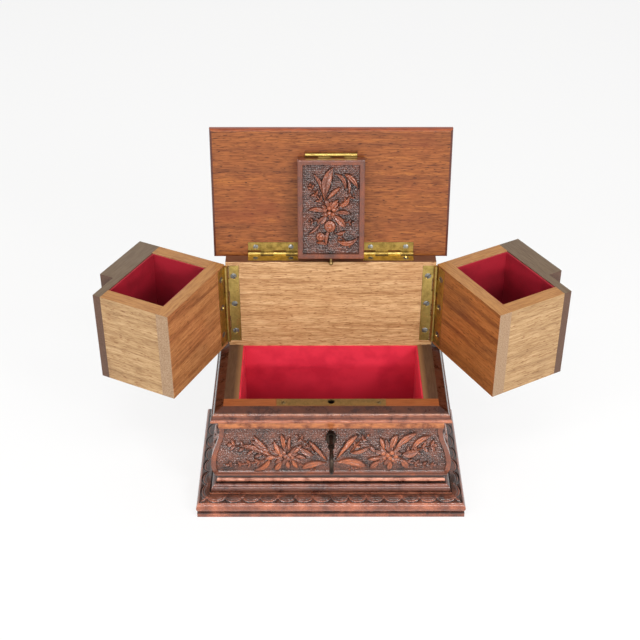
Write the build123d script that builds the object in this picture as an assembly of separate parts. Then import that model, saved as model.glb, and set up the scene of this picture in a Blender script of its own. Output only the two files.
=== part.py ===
from build123d import *
import math
import os

# Carved jewelry box, stored open: two trays swung out to the sides, the lid leaning back.
# Millimetres. Origin at the middle of the plinth's underside, +X right, +Y back, +Z up.
# Every piece is first modelled in the shut box, then turned to the open pose.

# Plinth
plinth_width = 220.0
plinth_depth = 127.0
plinth_thickness = 15.0
plinth_toe_height = 4.1
plinth_toe_set = 0.6
plinth_torus_top = 13.7
plinth_torus_reach = 2.2
plinth_slope_reach = 8.6

# Carcass and the mouldings planted on its front and sides
moulding_reach = 24.5
rim_height = 97.0
rim_inset = 17.8
rim_slope = 1.7
opening_width = 147.5
front_wall_thickness = 9.2
panel_front = 44.2
panel_thickness = 10.5
panel_rise = 1.8
panel_edge_rounding = 0.6
step_inset = 10.7
step_height = 16.0
top_moulding_height = 19.5
frieze_bulge_inset = 13.3
frieze_neck_inset = 20.8
frieze_band_inset = 15.3
frieze_band_height = 2.8
frieze_neck_height = 2.0
frieze_bulge_share = 0.377
frieze_turn_share = 0.647
frieze_turn_set = 1.6
top_nose_inset = 14.5
top_nose_drop = 8.6

# Steps and arcs of the two small mouldings, as heights and set-backs
step_fillet_height = 2.6
step_fillet_set = 1.2
ovolo_height = 5.8
ovolo_set = 4.1
ovolo_swell = 1.0
quirk_height = 0.4
quirk_set = 1.6
bead_height = 4.2
bead_reach = 1.2
bead_set = 0.3
step_cap_set = 0.7
fascia_set = 0.7
cove_height = 4.0
cove_drop = 5.6
nose_set = 0.8
nose_half = 1.6
nose_fillet = 0.4
crown_drop = 2.2
crown_set = 1.3

# Trays
tray_gap = 1.8
tray_meeting_gap = 0.8
tray_floor_gap = 2.0
tray_height = 78.4
tray_body_depth = 68.8
tray_wall_back = 10.8
tray_wall_outer = 10.7
tray_wall_inner = 11.3
tray_wall_front = 6.8
tray_floor_thickness = 3.0
flap_notch_width = 56.4
left_open_angle = 116.8
right_open_angle = 119.6

# Lid and flap
lid_width = 191.0
lid_depth = 108.4
lid_thickness = 8.5
lid_overhang = 3.4
lid_gap = 1.5
lid_open_angle = 98.5
lid_top_rounding = 4.0
lid_under_rounding = 2.2
lid_border = 9.0
flap_width = 53.0
flap_thickness = 11.0
flap_floor_gap = 1.2
flap_lean_angle = 14.6
carved_border = 4.4
carved_depth = 1.5
field_corner = 1.0

# Hinges
hinge_seat = 0.15
leaf_thickness = 0.9
side_knuckle_radius = 1.65
side_hinge_length = 74.0
side_leaf_reach = 10.6
side_knuckles = 6
side_screw_pitch = 27.0
lid_knuckle_radius = 1.5
lid_hinge_length = 41.0
lid_leaf_reach = 9.5
lid_knuckles = 4
lid_hinge_spacing = 93.6
lid_screw_pitch = 28.8
flap_knuckle_radius = 1.6
flap_hinge_length = 41.0
flap_leaf_reach = 8.3
flap_leaf_thickness = 0.7
flap_pin_below_lid = 0.2
flap_pin_behind = 0.4
flap_pin_above = 1.75
flap_knuckles = 4
flap_screw_pitch = 26.0
hinge_pin_radius = 0.7
pin_clearance = 0.05
knuckle_gap = 0.2
knuckle_notch = 1.0
gain_clearance = 0.15
gain_mouth = 3.6
barrel_groove = 1.2
leaf_corner = 0.8
hinge_above_middle = 0.5

# Screws
screw_head_radius = 2.7
screw_small_head_radius = 2.2
screw_shank_ratio = 0.45
screw_length = 6.5
screw_point = 1.5
screw_clearance = 0.05
head_depth_ratio = 0.5

# Linings
lining_thickness = 1.2
lining_top_gap = 1.0

# Lock, catch and key
lock_plate_length = 87.0
lock_plate_thickness = 1.2
lock_plate_proud = 0.2
lock_plate_edge = 0.3
lock_plate_screw_spacing = 76.0
catch_hole_radius = 2.9
catch_ball_radius = 1.9
catch_neck_radius = 1.0
catch_collar_height = 0.7
catch_collar_slope = 0.4
catch_drop = 5.0
catch_root_length = 8.0
case_width = 34.0
case_height = 36.0
case_depth = 7.4
case_wall = 0.5
case_clearance = 0.2
bolt_thickness = 1.2
bolt_throw = 4.5
bolt_width = 19.0
bolt_end_play = 1.5
bolt_arm_width = 6.0
bolt_play = 0.3
bolt_slot_room = 1.0
shank_slot_share = 0.62
ball_clearance = 2.0
key_turn_angle = 45.0
key_drop = 26.5
key_shank_radius = 1.5
key_bit_reach = 6.5
key_bit_thickness = 2.0
key_bit_length = 5.0
key_collar_radius = 2.6
key_ring_radius = 2.1
key_collar_width = 1.6
key_ring_width = 1.0
key_ring_spacing = 2.2
key_collar_reach = 12.0
key_bow_centre = 32.0
key_bow_length = 16.0
key_bow_height = 18.0
key_bow_wire = 1.6
keyhole_clearance = 0.4
escutcheon_width = 8.0
escutcheon_height = 12.0
escutcheon_drop = 2.6
escutcheon_reach = 2.6

# Places that follow from the sizes above
plinth_front = -plinth_depth / 2
carcass_width = plinth_width - 2 * moulding_reach
carcass_front = plinth_front + moulding_reach
carcass_side = carcass_width / 2
opening_front = carcass_front + front_wall_thickness
opening_side = opening_width / 2
panel_back = panel_front + panel_thickness
step_top = plinth_thickness + step_height
frieze_top = rim_height - top_moulding_height
frieze_height = frieze_top - step_top
side_axis_y = panel_front - tray_gap / 2
tray_back = panel_front - tray_gap
tray_bottom = rim_height + tray_floor_gap
tray_top = tray_bottom + tray_height
panel_top = tray_top + panel_rise
key_height = rim_height - key_drop
tray_strip = tray_back - tray_body_depth
tray_inner_end = -tray_meeting_gap / 2
side_hinge_middle = (tray_bottom + tray_top) / 2 + hinge_above_middle
lid_pin_y = panel_back + lid_knuckle_radius + hinge_seat
lid_pin_z = panel_top + lid_gap / 2
lid_underside = panel_top + lid_gap
lid_back = lid_pin_y + lid_overhang
flap_back = carcass_front + flap_thickness
flap_pin_y = flap_back + flap_pin_behind
flap_pin_z = lid_underside - flap_pin_below_lid
flap_top = flap_pin_z - flap_pin_above
flap_bottom = rim_height + flap_floor_gap
catch_y = (carcass_front + flap_back) / 2
case_front = opening_front - case_depth
case_top = rim_height + lock_plate_proud - lock_plate_thickness
escutcheon_front = plinth_front + frieze_neck_inset - escutcheon_reach

lid_axis = Axis((0, lid_pin_y, lid_pin_z), (1, 0, 0))
flap_axis = Axis((0, flap_pin_y, flap_pin_z), (1, 0, 0))
left_axis = Axis((-carcass_side, side_axis_y, 0), (0, 0, 1))
right_axis = Axis((carcass_side, side_axis_y, 0), (0, 0, 1))

parts = {}


def block(x0, x1, y0, y1, z0, z1):
    """Box between two corners."""
    middle = ((x0 + x1) / 2, (y0 + y1) / 2, (z0 + z1) / 2)
    return Pos(*middle) * Box(abs(x1 - x0), abs(y1 - y0), abs(z1 - z0))


def rod(radius, start, end, direction):
    """Cylinder along one axis, from start to end, given as distances along that axis."""
    turn = {"x": Rot(0, 90, 0), "y": Rot(-90, 0, 0), "z": Rot(0, 0, 0)}[direction]
    return turn * Pos(0, 0, (start + end) / 2) * Cylinder(radius, end - start)


def prism(points, z0, z1):
    """Upright prism on a plan outline."""
    outline = make_face(Polyline(*points, close=True).edges())
    return extrude(Pos(0, 0, z0) * outline, amount=z1 - z0)


# Mouldings: an outline in (inset from the plinth's edge, height), run along the front or a side

def step_outline():
    """Fillet, ovolo, quirk and bead that step the plinth in to the frieze."""
    shelf = (step_inset + step_fillet_set, plinth_thickness + step_fillet_height)
    crown = (shelf[0] + ovolo_set, shelf[1] + ovolo_height)
    swell = (shelf[0] + ovolo_swell, crown[1] - ovolo_height / 3)
    quirk = (crown[0] + quirk_set, crown[1] + quirk_height)
    bead = (quirk[0] + bead_set, quirk[1] + bead_height)
    bead_nose = (quirk[0] - bead_reach, quirk[1] + bead_height / 2)
    with BuildLine() as outline:
        Polyline(
            (moulding_reach, plinth_thickness),
            (step_inset, plinth_thickness),
            (step_inset, shelf[1]),
            shelf,
        )
        ThreePointArc(shelf, swell, crown)
        Line(crown, quirk)
        ThreePointArc(quirk, bead_nose, bead)
        Polyline(
            bead,
            (bead[0] + step_cap_set, step_top),
            (moulding_reach, step_top),
            (moulding_reach, plinth_thickness),
        )
    return make_face(outline.edges())


def frieze_outline():
    """Plain band, swelling lower part and hollow upper part of the carved frieze."""
    band = (frieze_band_inset, step_top + frieze_band_height)
    bulge = (frieze_bulge_inset, step_top + frieze_bulge_share * frieze_height)
    turn = (frieze_band_inset + frieze_turn_set, step_top + frieze_turn_share * frieze_height)
    neck = (frieze_neck_inset, frieze_top - frieze_neck_height)
    with BuildLine() as outline:
        Polyline((moulding_reach, step_top), (frieze_band_inset, step_top), band)
        lower = ThreePointArc(band, bulge, turn)
        TangentArc(turn, neck, tangent=lower % 1)
        Polyline(
            neck, (frieze_neck_inset, frieze_top), (moulding_reach, frieze_top), (moulding_reach, step_top)
        )
    return make_face(outline.edges())


def top_outline():
    """Fascia, hollow, nose and ovolo up to the sloping strip of the rim."""
    fascia = frieze_neck_inset - fascia_set
    nose = (top_nose_inset, rim_height - top_nose_drop)
    cove_foot = (fascia, nose[1] - cove_drop)
    cove_top = (top_nose_inset + nose_set, nose[1] - nose_half)
    cove_middle = (fascia - crown_set, cove_top[1] - cove_height / 3)
    nose_top = (cove_top[0], nose[1] + nose_half)
    shelf = (nose_top[0] + nose_set, nose_top[1] + nose_fillet)
    crown = (rim_inset - crown_set, rim_height - rim_slope - crown_drop)
    rim = (rim_inset, rim_height - rim_slope)
    with BuildLine() as outline:
        Polyline((moulding_reach, frieze_top), (fascia, frieze_top), cove_foot)
        ThreePointArc(cove_foot, cove_middle, cove_top)
        ThreePointArc(cove_top, nose, nose_top)
        Line(nose_top, shelf)
        ThreePointArc(shelf, crown, rim)
        Polyline(rim, (moulding_reach, rim_height), (moulding_reach, frieze_top))
    return make_face(outline.edges())


def moulding(outline, place):
    """One mitred length of moulding, on the front or on the left or right side."""
    run = extrude(Plane.YZ * outline, amount=plinth_width, both=True)
    half = plinth_width / 2
    if place == "front":
        mitre = [(-half, plinth_front), (half, plinth_front), (0, plinth_front + half)]
        return (Pos(0, plinth_front, 0) * run) & prism(mitre, 0, rim_height)
    hand = -1 if place == "left" else 1
    placed = Pos(hand * half, 0, 0) * Rot(0, 0, 90 * hand) * run
    mitre = [
        (hand * half, plinth_front),
        (hand * half, panel_back),
        (hand * carcass_side, panel_back),
        (hand * carcass_side, carcass_front),
    ]
    return placed & prism(mitre, 0, rim_height)


def plinth_section(span):
    """Section across the plinth board with its toe, torus and slope worked on both edges."""
    half = span / 2
    toe = half - plinth_toe_set
    neck = half - plinth_torus_reach
    rise = plinth_toe_height + plinth_toe_set
    crown = (half, (rise + plinth_torus_top) / 2)
    with BuildLine() as outline:
        Polyline((0, 0), (toe, 0), (toe, plinth_toe_height), (neck, rise))
        ThreePointArc((neck, rise), crown, (neck, plinth_torus_top))
        Polyline(
            (neck, plinth_torus_top),
            (half - plinth_slope_reach, plinth_thickness),
            (0, plinth_thickness),
            (0, 0),
        )
    right = make_face(outline.edges())
    return right + mirror(right, about=Plane.YZ)


def build_plinth():
    """One board, moulded on all four edges."""
    across = extrude(Plane.XZ * plinth_section(plinth_width), amount=plinth_depth, both=True)
    along = extrude(Plane.YZ * plinth_section(plinth_depth), amount=plinth_width, both=True)
    parts["plinth_board"] = across & along


def keyhole(radius, reach, y0, y1):
    """Round hole with a slot below it for the bit, run along Y."""
    round_part = Pos(0, 0, key_height) * rod(radius, y0, y1, "y")
    half = key_bit_thickness / 2 + keyhole_clearance
    return round_part + block(-half, half, y0, y1, key_height - reach, key_height)


def build_mouldings():
    """Step, frieze and top mouldings in three mitred lengths each."""
    outlines = {"step_moulding": step_outline(), "frieze": frieze_outline(), "top_moulding": top_outline()}
    for name, outline in outlines.items():
        for place in ("front", "left", "right"):
            parts[f"{name}_{place}"] = moulding(outline, place)
    middle = (0, carcass_front, key_height - escutcheon_drop)
    plug = Plane(origin=middle, x_dir=(1, 0, 0), z_dir=(0, -1, 0))
    hole = plug * extrude(
        Ellipse(escutcheon_width / 2 + screw_clearance, escutcheon_height / 2 + screw_clearance),
        amount=moulding_reach,
    )
    parts["frieze_front"] -= hole
    ring = plug * extrude(
        Ellipse(escutcheon_width / 2, escutcheon_height / 2), amount=carcass_front - escutcheon_front
    )
    shank = key_shank_radius + keyhole_clearance
    reach = key_bit_reach + keyhole_clearance
    parts["keyhole_escutcheon"] = ring - keyhole(shank, reach, plinth_front, carcass_front + 1)


def build_carcass():
    """Front wall with its lock mortise, side walls, and the tall back panel."""
    front = block(-carcass_side, carcass_side, carcass_front, opening_front, plinth_thickness, rim_height)
    half_plate = lock_plate_length / 2
    front -= block(
        -half_plate, half_plate, carcass_front + lock_plate_edge, opening_front - lock_plate_edge,
        case_top, rim_height + 1,
    )
    half_case = case_width / 2 + case_clearance
    front -= block(
        -half_case, half_case, case_front - case_clearance, opening_front + 1,
        case_top - case_height - case_clearance, rim_height + 1,
    )
    reach = key_bit_reach + keyhole_clearance
    front -= keyhole(key_shank_radius + keyhole_clearance, reach, plinth_front, opening_front)
    parts["carcass_front"] = front
    for name, hand in (("left", -1), ("right", 1)):
        parts[f"carcass_{name}"] = block(
            hand * opening_side, hand * carcass_side, opening_front, panel_front,
            plinth_thickness, rim_height,
        )
    panel = block(
        -carcass_side, carcass_side, panel_front, panel_back, plinth_thickness, panel_top
    )
    top_edges = panel.edges().filter_by(Axis.X).group_by(Axis.Z)[-1]
    parts["back_panel"] = fillet(top_edges, panel_edge_rounding)


def build_compartment_linings():
    """Satin on card over the floor and the four walls of the lower compartment."""
    floor_top = plinth_thickness + lining_thickness
    parts["compartment_floor_lining"] = block(
        -opening_side, opening_side, opening_front, panel_front, plinth_thickness, floor_top
    )
    parts["compartment_wall_linings"] = wall_linings(
        -opening_side, opening_side, opening_front, panel_front, floor_top, rim_height - lining_top_gap
    )


def wall_linings(x0, x1, y0, y1, z0, z1):
    """Four thin lining panels that stand inside a rectangle."""
    t = lining_thickness
    panels = [
        block(x0, x0 + t, y0 + t, y1 - t, z0, z1),
        block(x1 - t, x1, y0 + t, y1 - t, z0, z1),
        block(x0, x1, y0, y0 + t, z0, z1),
        block(x0, x1, y1 - t, y1, z0, z1),
    ]
    return Compound(children=[p.solid() for p in panels])


# Hinges: local Z along the pin, local X along the leaf, local Y into the wood

def screw(head_radius, grow=0.0):
    """Countersunk wood screw pointing down, its flat head level with the origin."""
    shank = screw_shank_ratio * head_radius + grow
    head = head_radius + grow
    depth = head_depth_ratio * head_radius
    with BuildLine() as outline:
        Polyline(
            (0, grow), (head, grow), (shank, -depth), (shank, screw_point - screw_length),
            (0, -screw_length - grow), (0, grow),
        )
    return revolve(Plane.XZ * make_face(outline.edges()), Axis.Z)


def knuckle_spans(length, count, first):
    """Ends of every second knuckle, from the first or the second one."""
    pitch = length / count
    spans = []
    for i in range(first, count, 2):
        low = -length / 2 + i * pitch + (knuckle_gap / 2 if i else 0)
        high = -length / 2 + (i + 1) * pitch - (knuckle_gap / 2 if i < count - 1 else 0)
        spans.append((low, high))
    return spans


def hinge_leaf(length, reach, radius, thickness, face, count):
    """Leaf with every second knuckle rolled on it; face is its wood side's distance from the pin."""
    leaf = block(0, reach, face - thickness, face, -length / 2, length / 2)
    corners = leaf.edges().filter_by(Axis.Y).group_by(Axis.X)[-1]
    leaf = fillet(corners, leaf_corner)
    notch = radius + knuckle_notch
    for low, high in knuckle_spans(length, count, 1):
        leaf -= block(0, notch, face - thickness, face, low - knuckle_gap, high + knuckle_gap)
    for low, high in knuckle_spans(length, count, 0):
        leaf += rod(radius, low, high, "z")
    return leaf - rod(hinge_pin_radius + pin_clearance, -length, length, "z")


def screw_frames(reach, radius, surface, pitch, count):
    """Where the screws of one leaf go: along the middle of its flat part."""
    middle = (radius + reach) / 2
    rows = [(i - (count - 1) / 2) * pitch for i in range(count)]
    return [Plane(origin=(middle, surface, z), x_dir=(1, 0, 0), z_dir=(0, -1, 0)) for z in rows]


def seat_screws(frame, planes, head_radius):
    """Screws and the slightly larger tools that cut their holes, in one hinge's frame."""
    screws = [frame * (plane * screw(head_radius)) for plane in planes]
    tools = [frame * (plane * screw(head_radius, screw_clearance)) for plane in planes]
    return screws, tools


def group(solids):
    """Separate solids kept together as one node."""
    return Compound(children=[s.solid() for s in solids])


def cut(name, tools):
    """Take tools out of a piece."""
    for tool in tools:
        parts[name] -= tool


def gain(frame, length, reach, face):
    """Shallow housing cut in the wood for a leaf."""
    half = length / 2 + gain_clearance
    return frame * block(-gain_mouth, reach + gain_clearance, face - gain_mouth, face, -half, half)


def groove(frame, length, radius, face):
    """Deeper groove in the wood beside a hinge's barrel."""
    half = length / 2 + gain_clearance
    reach = radius + knuckle_notch
    return frame * block(-gain_mouth, reach, face - gain_mouth, face + barrel_groove, -half, half)


def hinge_pin(frame, length):
    """Pin through all the knuckles, its rounded ends level with the outer ones."""
    pin = rod(hinge_pin_radius, -length / 2, length / 2, "z")
    return frame * fillet(pin.edges().filter_by(GeomType.CIRCLE), 0.4 * hinge_pin_radius)


def side_frames(hand):
    """Frames of the panel leaf and the tray leaf of one side hinge, in the shut box."""
    origin = (hand * carcass_side, side_axis_y, side_hinge_middle)
    panel = Plane(origin=origin, x_dir=(-hand, 0, 0), z_dir=(0, 0, -hand))
    tray = Plane(origin=origin, x_dir=(-hand, 0, 0), z_dir=(0, 0, hand))
    return panel, tray


def build_side_hinges():
    """Tall hinges between the panel's front face and each tray's back."""
    face = side_knuckle_radius + hinge_seat
    leaf = hinge_leaf(
        side_hinge_length, side_leaf_reach, side_knuckle_radius, leaf_thickness, face, side_knuckles
    )
    planes = screw_frames(side_leaf_reach, side_knuckle_radius, face - leaf_thickness, side_screw_pitch, 3)
    panel_screws = []
    for name, hand in (("left", -1), ("right", 1)):
        panel_frame, tray_frame = side_frames(hand)
        screws, tools = seat_screws(panel_frame, planes, screw_head_radius)
        panel_screws += screws
        parts[f"{name}_hinge_panel_leaf"] = panel_frame * leaf
        cut(f"{name}_hinge_panel_leaf", tools)
        cut("back_panel", [
            gain(panel_frame, side_hinge_length, side_leaf_reach, face),
            groove(panel_frame, side_hinge_length, side_knuckle_radius, face),
        ] + tools)
        parts[f"{name}_hinge_pin"] = hinge_pin(panel_frame, side_hinge_length)
        screws, tools = seat_screws(tray_frame, planes, screw_head_radius)
        parts[f"{name}_hinge_tray_screws"] = group(screws)
        parts[f"{name}_hinge_tray_leaf"] = tray_frame * leaf
        cut(f"{name}_hinge_tray_leaf", tools)
        cut(f"{name}_tray_back", [gain(tray_frame, side_hinge_length, side_leaf_reach, face)] + tools)
    parts["side_hinge_panel_screws"] = group(panel_screws)


def build_lid_hinges():
    """Two butt hinges let into the panel's top edge and the lid's underside."""
    face = lid_knuckle_radius + hinge_seat
    leaf = hinge_leaf(
        lid_hinge_length, lid_leaf_reach, lid_knuckle_radius, leaf_thickness, face, lid_knuckles
    )
    planes = screw_frames(lid_leaf_reach, lid_knuckle_radius, face - leaf_thickness, lid_screw_pitch, 2)
    groups = {"panel_leaves": [], "lid_leaves": [], "pins": [], "panel_screws": [], "lid_screws": []}
    for hand in (-1, 1):
        origin = (hand * lid_hinge_spacing / 2, lid_pin_y, lid_pin_z)
        frames = {
            "panel": Plane(origin=origin, x_dir=(0, -1, 0), z_dir=(1, 0, 0)),
            "lid": Plane(origin=origin, x_dir=(0, -1, 0), z_dir=(-1, 0, 0)),
        }
        for side, board in (("panel", "back_panel"), ("lid", "lid_board")):
            frame = frames[side]
            screws, tools = seat_screws(frame, planes, screw_small_head_radius)
            placed = frame * leaf
            for tool in tools:
                placed -= tool
            groups[f"{side}_leaves"].append(placed)
            groups[f"{side}_screws"] += screws
            cut(board, [
                gain(frame, lid_hinge_length, lid_leaf_reach, face),
                groove(frame, lid_hinge_length, lid_knuckle_radius, face),
            ] + tools)
        groups["pins"].append(hinge_pin(frames["panel"], lid_hinge_length))
    for name, solids in groups.items():
        parts[f"lid_hinge_{name}"] = group(solids)


def build_flap_hinge():
    """Small hinge behind the flap's top edge: one leaf let into the lid, one into the flap's back."""
    origin = (0, flap_pin_y, flap_pin_z)
    on_lid = Plane(origin=origin, x_dir=(0, 1, 0), z_dir=(1, 0, 0))
    on_flap = Plane(origin=origin, x_dir=(0, 0, -1), z_dir=(-1, 0, 0))
    sizes = (flap_hinge_length, flap_leaf_reach, flap_knuckle_radius, flap_leaf_thickness)
    jobs = (
        ("lid", on_lid, flap_pin_below_lid, "lid_board"),
        ("flap", on_flap, flap_pin_behind, "flap_panel"),
    )
    for side, frame, surface, board in jobs:
        planes = screw_frames(flap_leaf_reach, flap_knuckle_radius, surface, flap_screw_pitch, 2)
        screws, tools = seat_screws(frame, planes, screw_small_head_radius)
        face = surface + flap_leaf_thickness
        parts[f"flap_hinge_{side}_leaf"] = frame * hinge_leaf(*sizes, face, flap_knuckles)
        cut(f"flap_hinge_{side}_leaf", tools)
        cut(board, [gain(frame, flap_hinge_length, flap_leaf_reach, face)] + tools)
        parts[f"flap_hinge_{side}_screws"] = group(screws)
    lid_face = flap_pin_below_lid + flap_leaf_thickness
    cut("lid_board", [groove(on_lid, flap_hinge_length, flap_knuckle_radius, lid_face)])
    parts["flap_hinge_pin"] = hinge_pin(on_lid, flap_hinge_length)


def build_lid():
    """Board with rounded edges and a sunk field on top, shut on the panel and trays."""
    board = block(
        -lid_width / 2, lid_width / 2, lid_back - lid_depth, lid_back,
        lid_underside, lid_underside + lid_thickness,
    )
    board = fillet(board.faces().sort_by(Axis.Z)[-1].edges(), lid_top_rounding)
    board = fillet(board.faces().sort_by(Axis.Z)[0].edges(), lid_under_rounding)
    field = block(
        lid_border - lid_width / 2, lid_width / 2 - lid_border,
        lid_back - lid_depth + lid_border, lid_back - lid_border,
        lid_underside + lid_thickness - carved_depth, lid_underside + lid_thickness + 1,
    )
    parts["lid_board"] = board - fillet(field.edges().filter_by(Axis.Z), field_corner)


def front_field(x0, x1, z0, z1):
    """Sunk ground for carving in a front face, inside a plain border."""
    x0, x1 = sorted((x0, x1))
    field = block(
        x0 + carved_border, x1 - carved_border, carcass_front - 1, carcass_front + carved_depth,
        z0 + carved_border, z1 - carved_border,
    )
    return fillet(field.edges().filter_by(Axis.Y), field_corner)


def build_flap():
    """Carved flap that hangs from the lid, with a sunk ground inside a plain border."""
    half = flap_width / 2
    panel = block(-half, half, carcass_front, flap_back, flap_bottom, flap_top)
    panel -= front_field(-half, half, flap_bottom, flap_top)
    panel -= Pos(0, catch_y, 0) * rod(
        catch_neck_radius + screw_clearance, flap_bottom - 1, flap_bottom + catch_root_length + 0.2, "z"
    )
    parts["flap_panel"] = panel
    ball = flap_bottom - catch_drop
    neck_top = flap_bottom - catch_collar_height - catch_collar_slope
    with BuildLine() as outline:
        Polyline(
            (0, flap_bottom + catch_root_length),
            (catch_neck_radius, flap_bottom + catch_root_length),
            (catch_neck_radius, flap_bottom),
            (catch_ball_radius, flap_bottom),
            (catch_ball_radius, flap_bottom - catch_collar_height),
            (catch_neck_radius, neck_top),
        )
        touch = ball + math.sqrt(catch_ball_radius**2 - catch_neck_radius**2)
        Line((catch_neck_radius, neck_top), (catch_neck_radius, touch))
        ThreePointArc((catch_neck_radius, touch), (catch_ball_radius, ball), (0, ball - catch_ball_radius))
        Line((0, ball - catch_ball_radius), (0, flap_bottom + catch_root_length))
    pin = revolve(Plane.XZ * make_face(outline.edges()), Axis.Z)
    parts["catch_pin"] = Pos(0, catch_y, 0) * pin


def build_tray(name, hand):
    """One swing-out tray, shut: four walls with sunk fields outside, a let-in floor and its linings."""
    outer = hand * carcass_side
    inner = -hand * tray_inner_end
    notch = hand * flap_notch_width / 2
    floor_top = tray_bottom + tray_floor_thickness
    back_inside = tray_back - tray_wall_back
    front_inside = tray_strip + tray_wall_front
    outer_inside = outer - hand * tray_wall_outer
    inner_inside = inner + hand * tray_wall_inner
    parts[f"{name}_tray_back"] = block(outer, inner, back_inside, tray_back, tray_bottom, tray_top)
    front = block(outer, notch, carcass_front, front_inside, tray_bottom, tray_top)
    front += block(notch, inner, tray_strip, front_inside, tray_bottom, tray_top)
    parts[f"{name}_tray_front"] = front - front_field(outer, notch, tray_bottom, tray_top)
    parts[f"{name}_tray_outer_end"] = block(
        outer, outer_inside, front_inside, back_inside, tray_bottom, tray_top
    )
    parts[f"{name}_tray_inner_end"] = block(
        inner, inner_inside, front_inside, back_inside, tray_bottom, tray_top
    )
    parts[f"{name}_tray_floor"] = block(
        outer_inside, inner_inside, front_inside, back_inside, tray_bottom, floor_top
    )
    field = block(
        outer - hand * carved_depth, outer + hand, carcass_front + carved_border, tray_back - carved_border,
        tray_bottom + carved_border, tray_top - carved_border,
    )
    field = fillet(field.edges().filter_by(Axis.X), field_corner)
    for board in ("front", "outer_end", "back"):
        cut(f"{name}_tray_{board}", [field])
    x0, x1 = sorted((outer_inside, inner_inside))
    parts[f"{name}_tray_floor_lining"] = block(
        x0, x1, front_inside, back_inside, floor_top, floor_top + lining_thickness
    )
    parts[f"{name}_tray_wall_linings"] = wall_linings(
        x0, x1, front_inside, back_inside, floor_top + lining_thickness, tray_top - lining_top_gap
    )


def build_lock():
    """Plate with the catch hole, and the case and bolt let in behind it."""
    half_plate = lock_plate_length / 2
    plate = block(
        -half_plate, half_plate, carcass_front + lock_plate_edge, opening_front - lock_plate_edge,
        case_top, rim_height + lock_plate_proud,
    )
    plate -= Pos(0, catch_y, 0) * rod(catch_hole_radius, case_top - 1, rim_height + 2, "z")
    middle = (carcass_front + opening_front) / 2
    plate_top = rim_height + lock_plate_proud
    half_spacing = lock_plate_screw_spacing / 2
    planes = [Plane(origin=(side * half_spacing, middle, plate_top), z_dir=(0, 0, 1)) for side in (-1, 1)]
    parts["lock_plate"] = plate
    screws = [plane * screw(screw_small_head_radius) for plane in planes]
    tools = [plane * screw(screw_small_head_radius, screw_clearance) for plane in planes]
    parts["lock_plate_screws"] = group(screws)
    cut("lock_plate", tools)
    cut("carcass_front", tools)

    half = case_width / 2
    case_bottom = case_top - case_height
    case = block(-half, half, case_front, opening_front, case_bottom, case_top)
    case -= block(
        -half + case_wall, half - case_wall, case_front + case_wall, opening_front - case_wall,
        case_bottom + case_wall, case_top + 1,
    )
    reach = key_bit_reach + keyhole_clearance
    shank = key_shank_radius + keyhole_clearance
    case -= keyhole(shank, reach, case_front - 1, case_front + case_wall + case_clearance / 2)
    parts["lock_case"] = case

    # The bolt: a web that the key's bit pushes, and a flange whose slot grips the catch pin's neck
    web_front = case_front + case_wall + case_clearance
    flange_back = opening_front - case_wall - case_clearance
    flange_top = case_top - case_clearance
    left = -half + case_wall + bolt_throw + bolt_end_play
    right = left + bolt_width
    web_top = flap_bottom - catch_drop - catch_ball_radius - ball_clearance
    web_bottom = key_height - key_bit_reach - ball_clearance
    bolt = block(left, right, web_front, web_front + bolt_thickness, web_bottom, web_top)
    arm = left + bolt_arm_width
    bolt += block(left, arm, web_front, web_front + bolt_thickness, web_top, flange_top)
    bolt += block(left, right, web_front, flange_back, flange_top - bolt_thickness, flange_top)
    bolt -= block(
        -shank, bolt_throw + shank, web_front - 1, web_front + 2 * bolt_thickness,
        key_height - shank_slot_share * key_bit_reach, key_height + shank,
    )
    tip = key_bit_thickness / 2 + keyhole_clearance
    bolt -= block(
        -tip - bolt_play, tip + bolt_slot_room, web_front - 1, web_front + 2 * bolt_thickness,
        key_height - key_bit_reach - bolt_slot_room, key_height,
    )
    pass_hole = Pos(0, catch_y, 0) * rod(catch_ball_radius + 2 * bolt_play, web_top, case_top, "z")
    neck = catch_neck_radius + bolt_play
    neck_slot = block(
        0, bolt_throw + neck, catch_y - neck, catch_y + neck, flange_top - 2 * bolt_thickness, case_top
    )
    parts["lock_bolt"] = bolt - pass_hole - neck_slot


def build_key():
    """Key standing in the lock: bit, shank, turned collar and an oval wire bow, edge-on to the front."""
    web_front = case_front + case_wall + case_clearance
    bow_middle = escutcheon_front - key_bow_centre
    bow_back = bow_middle + key_bow_length / 2
    shank_end = web_front + key_bit_length
    shank = rod(key_shank_radius, bow_back - key_bow_wire, shank_end, "y")
    collar = bow_back + key_collar_reach
    rings = (
        (0, key_collar_radius, key_collar_width),
        (key_ring_spacing, key_ring_radius, key_ring_width),
        (-key_ring_spacing, key_ring_radius, key_ring_width),
    )
    for place, radius, width in rings:
        shank += rod(radius, collar + place - width / 2, collar + place + width / 2, "y")
    bit_half = key_bit_thickness / 2
    shank += block(-bit_half, bit_half, web_front - case_clearance / 2, shank_end, -key_bit_reach, 0)
    loop_width = key_bow_length - 2 * key_bow_wire
    loop = Plane.YZ * SlotCenterToCenter(key_bow_height - key_bow_length, loop_width, rotation=90)
    path = loop.wire()
    bow = sweep(Plane(origin=path @ 0, z_dir=path % 0) * Circle(key_bow_wire), path=path)
    parts["key"] = Pos(0, 0, key_height) * (shank + Pos(0, bow_middle, 0) * bow)


def open_up():
    """Turn the lid, flap and trays from the shut box to the open pose."""
    for name in list(parts):
        if name.startswith(("flap_panel", "flap_hinge_flap", "catch_pin")):
            parts[name] = parts[name].rotate(flap_axis, lid_open_angle - flap_lean_angle)
        if name.startswith(("lid_board", "lid_hinge_lid", "flap_", "catch_pin")):
            parts[name] = parts[name].rotate(lid_axis, -lid_open_angle)
        if name.startswith(("left_tray", "left_hinge_tray")):
            parts[name] = parts[name].rotate(left_axis, -left_open_angle)
        if name.startswith(("right_tray", "right_hinge_tray")):
            parts[name] = parts[name].rotate(right_axis, right_open_angle)


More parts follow.
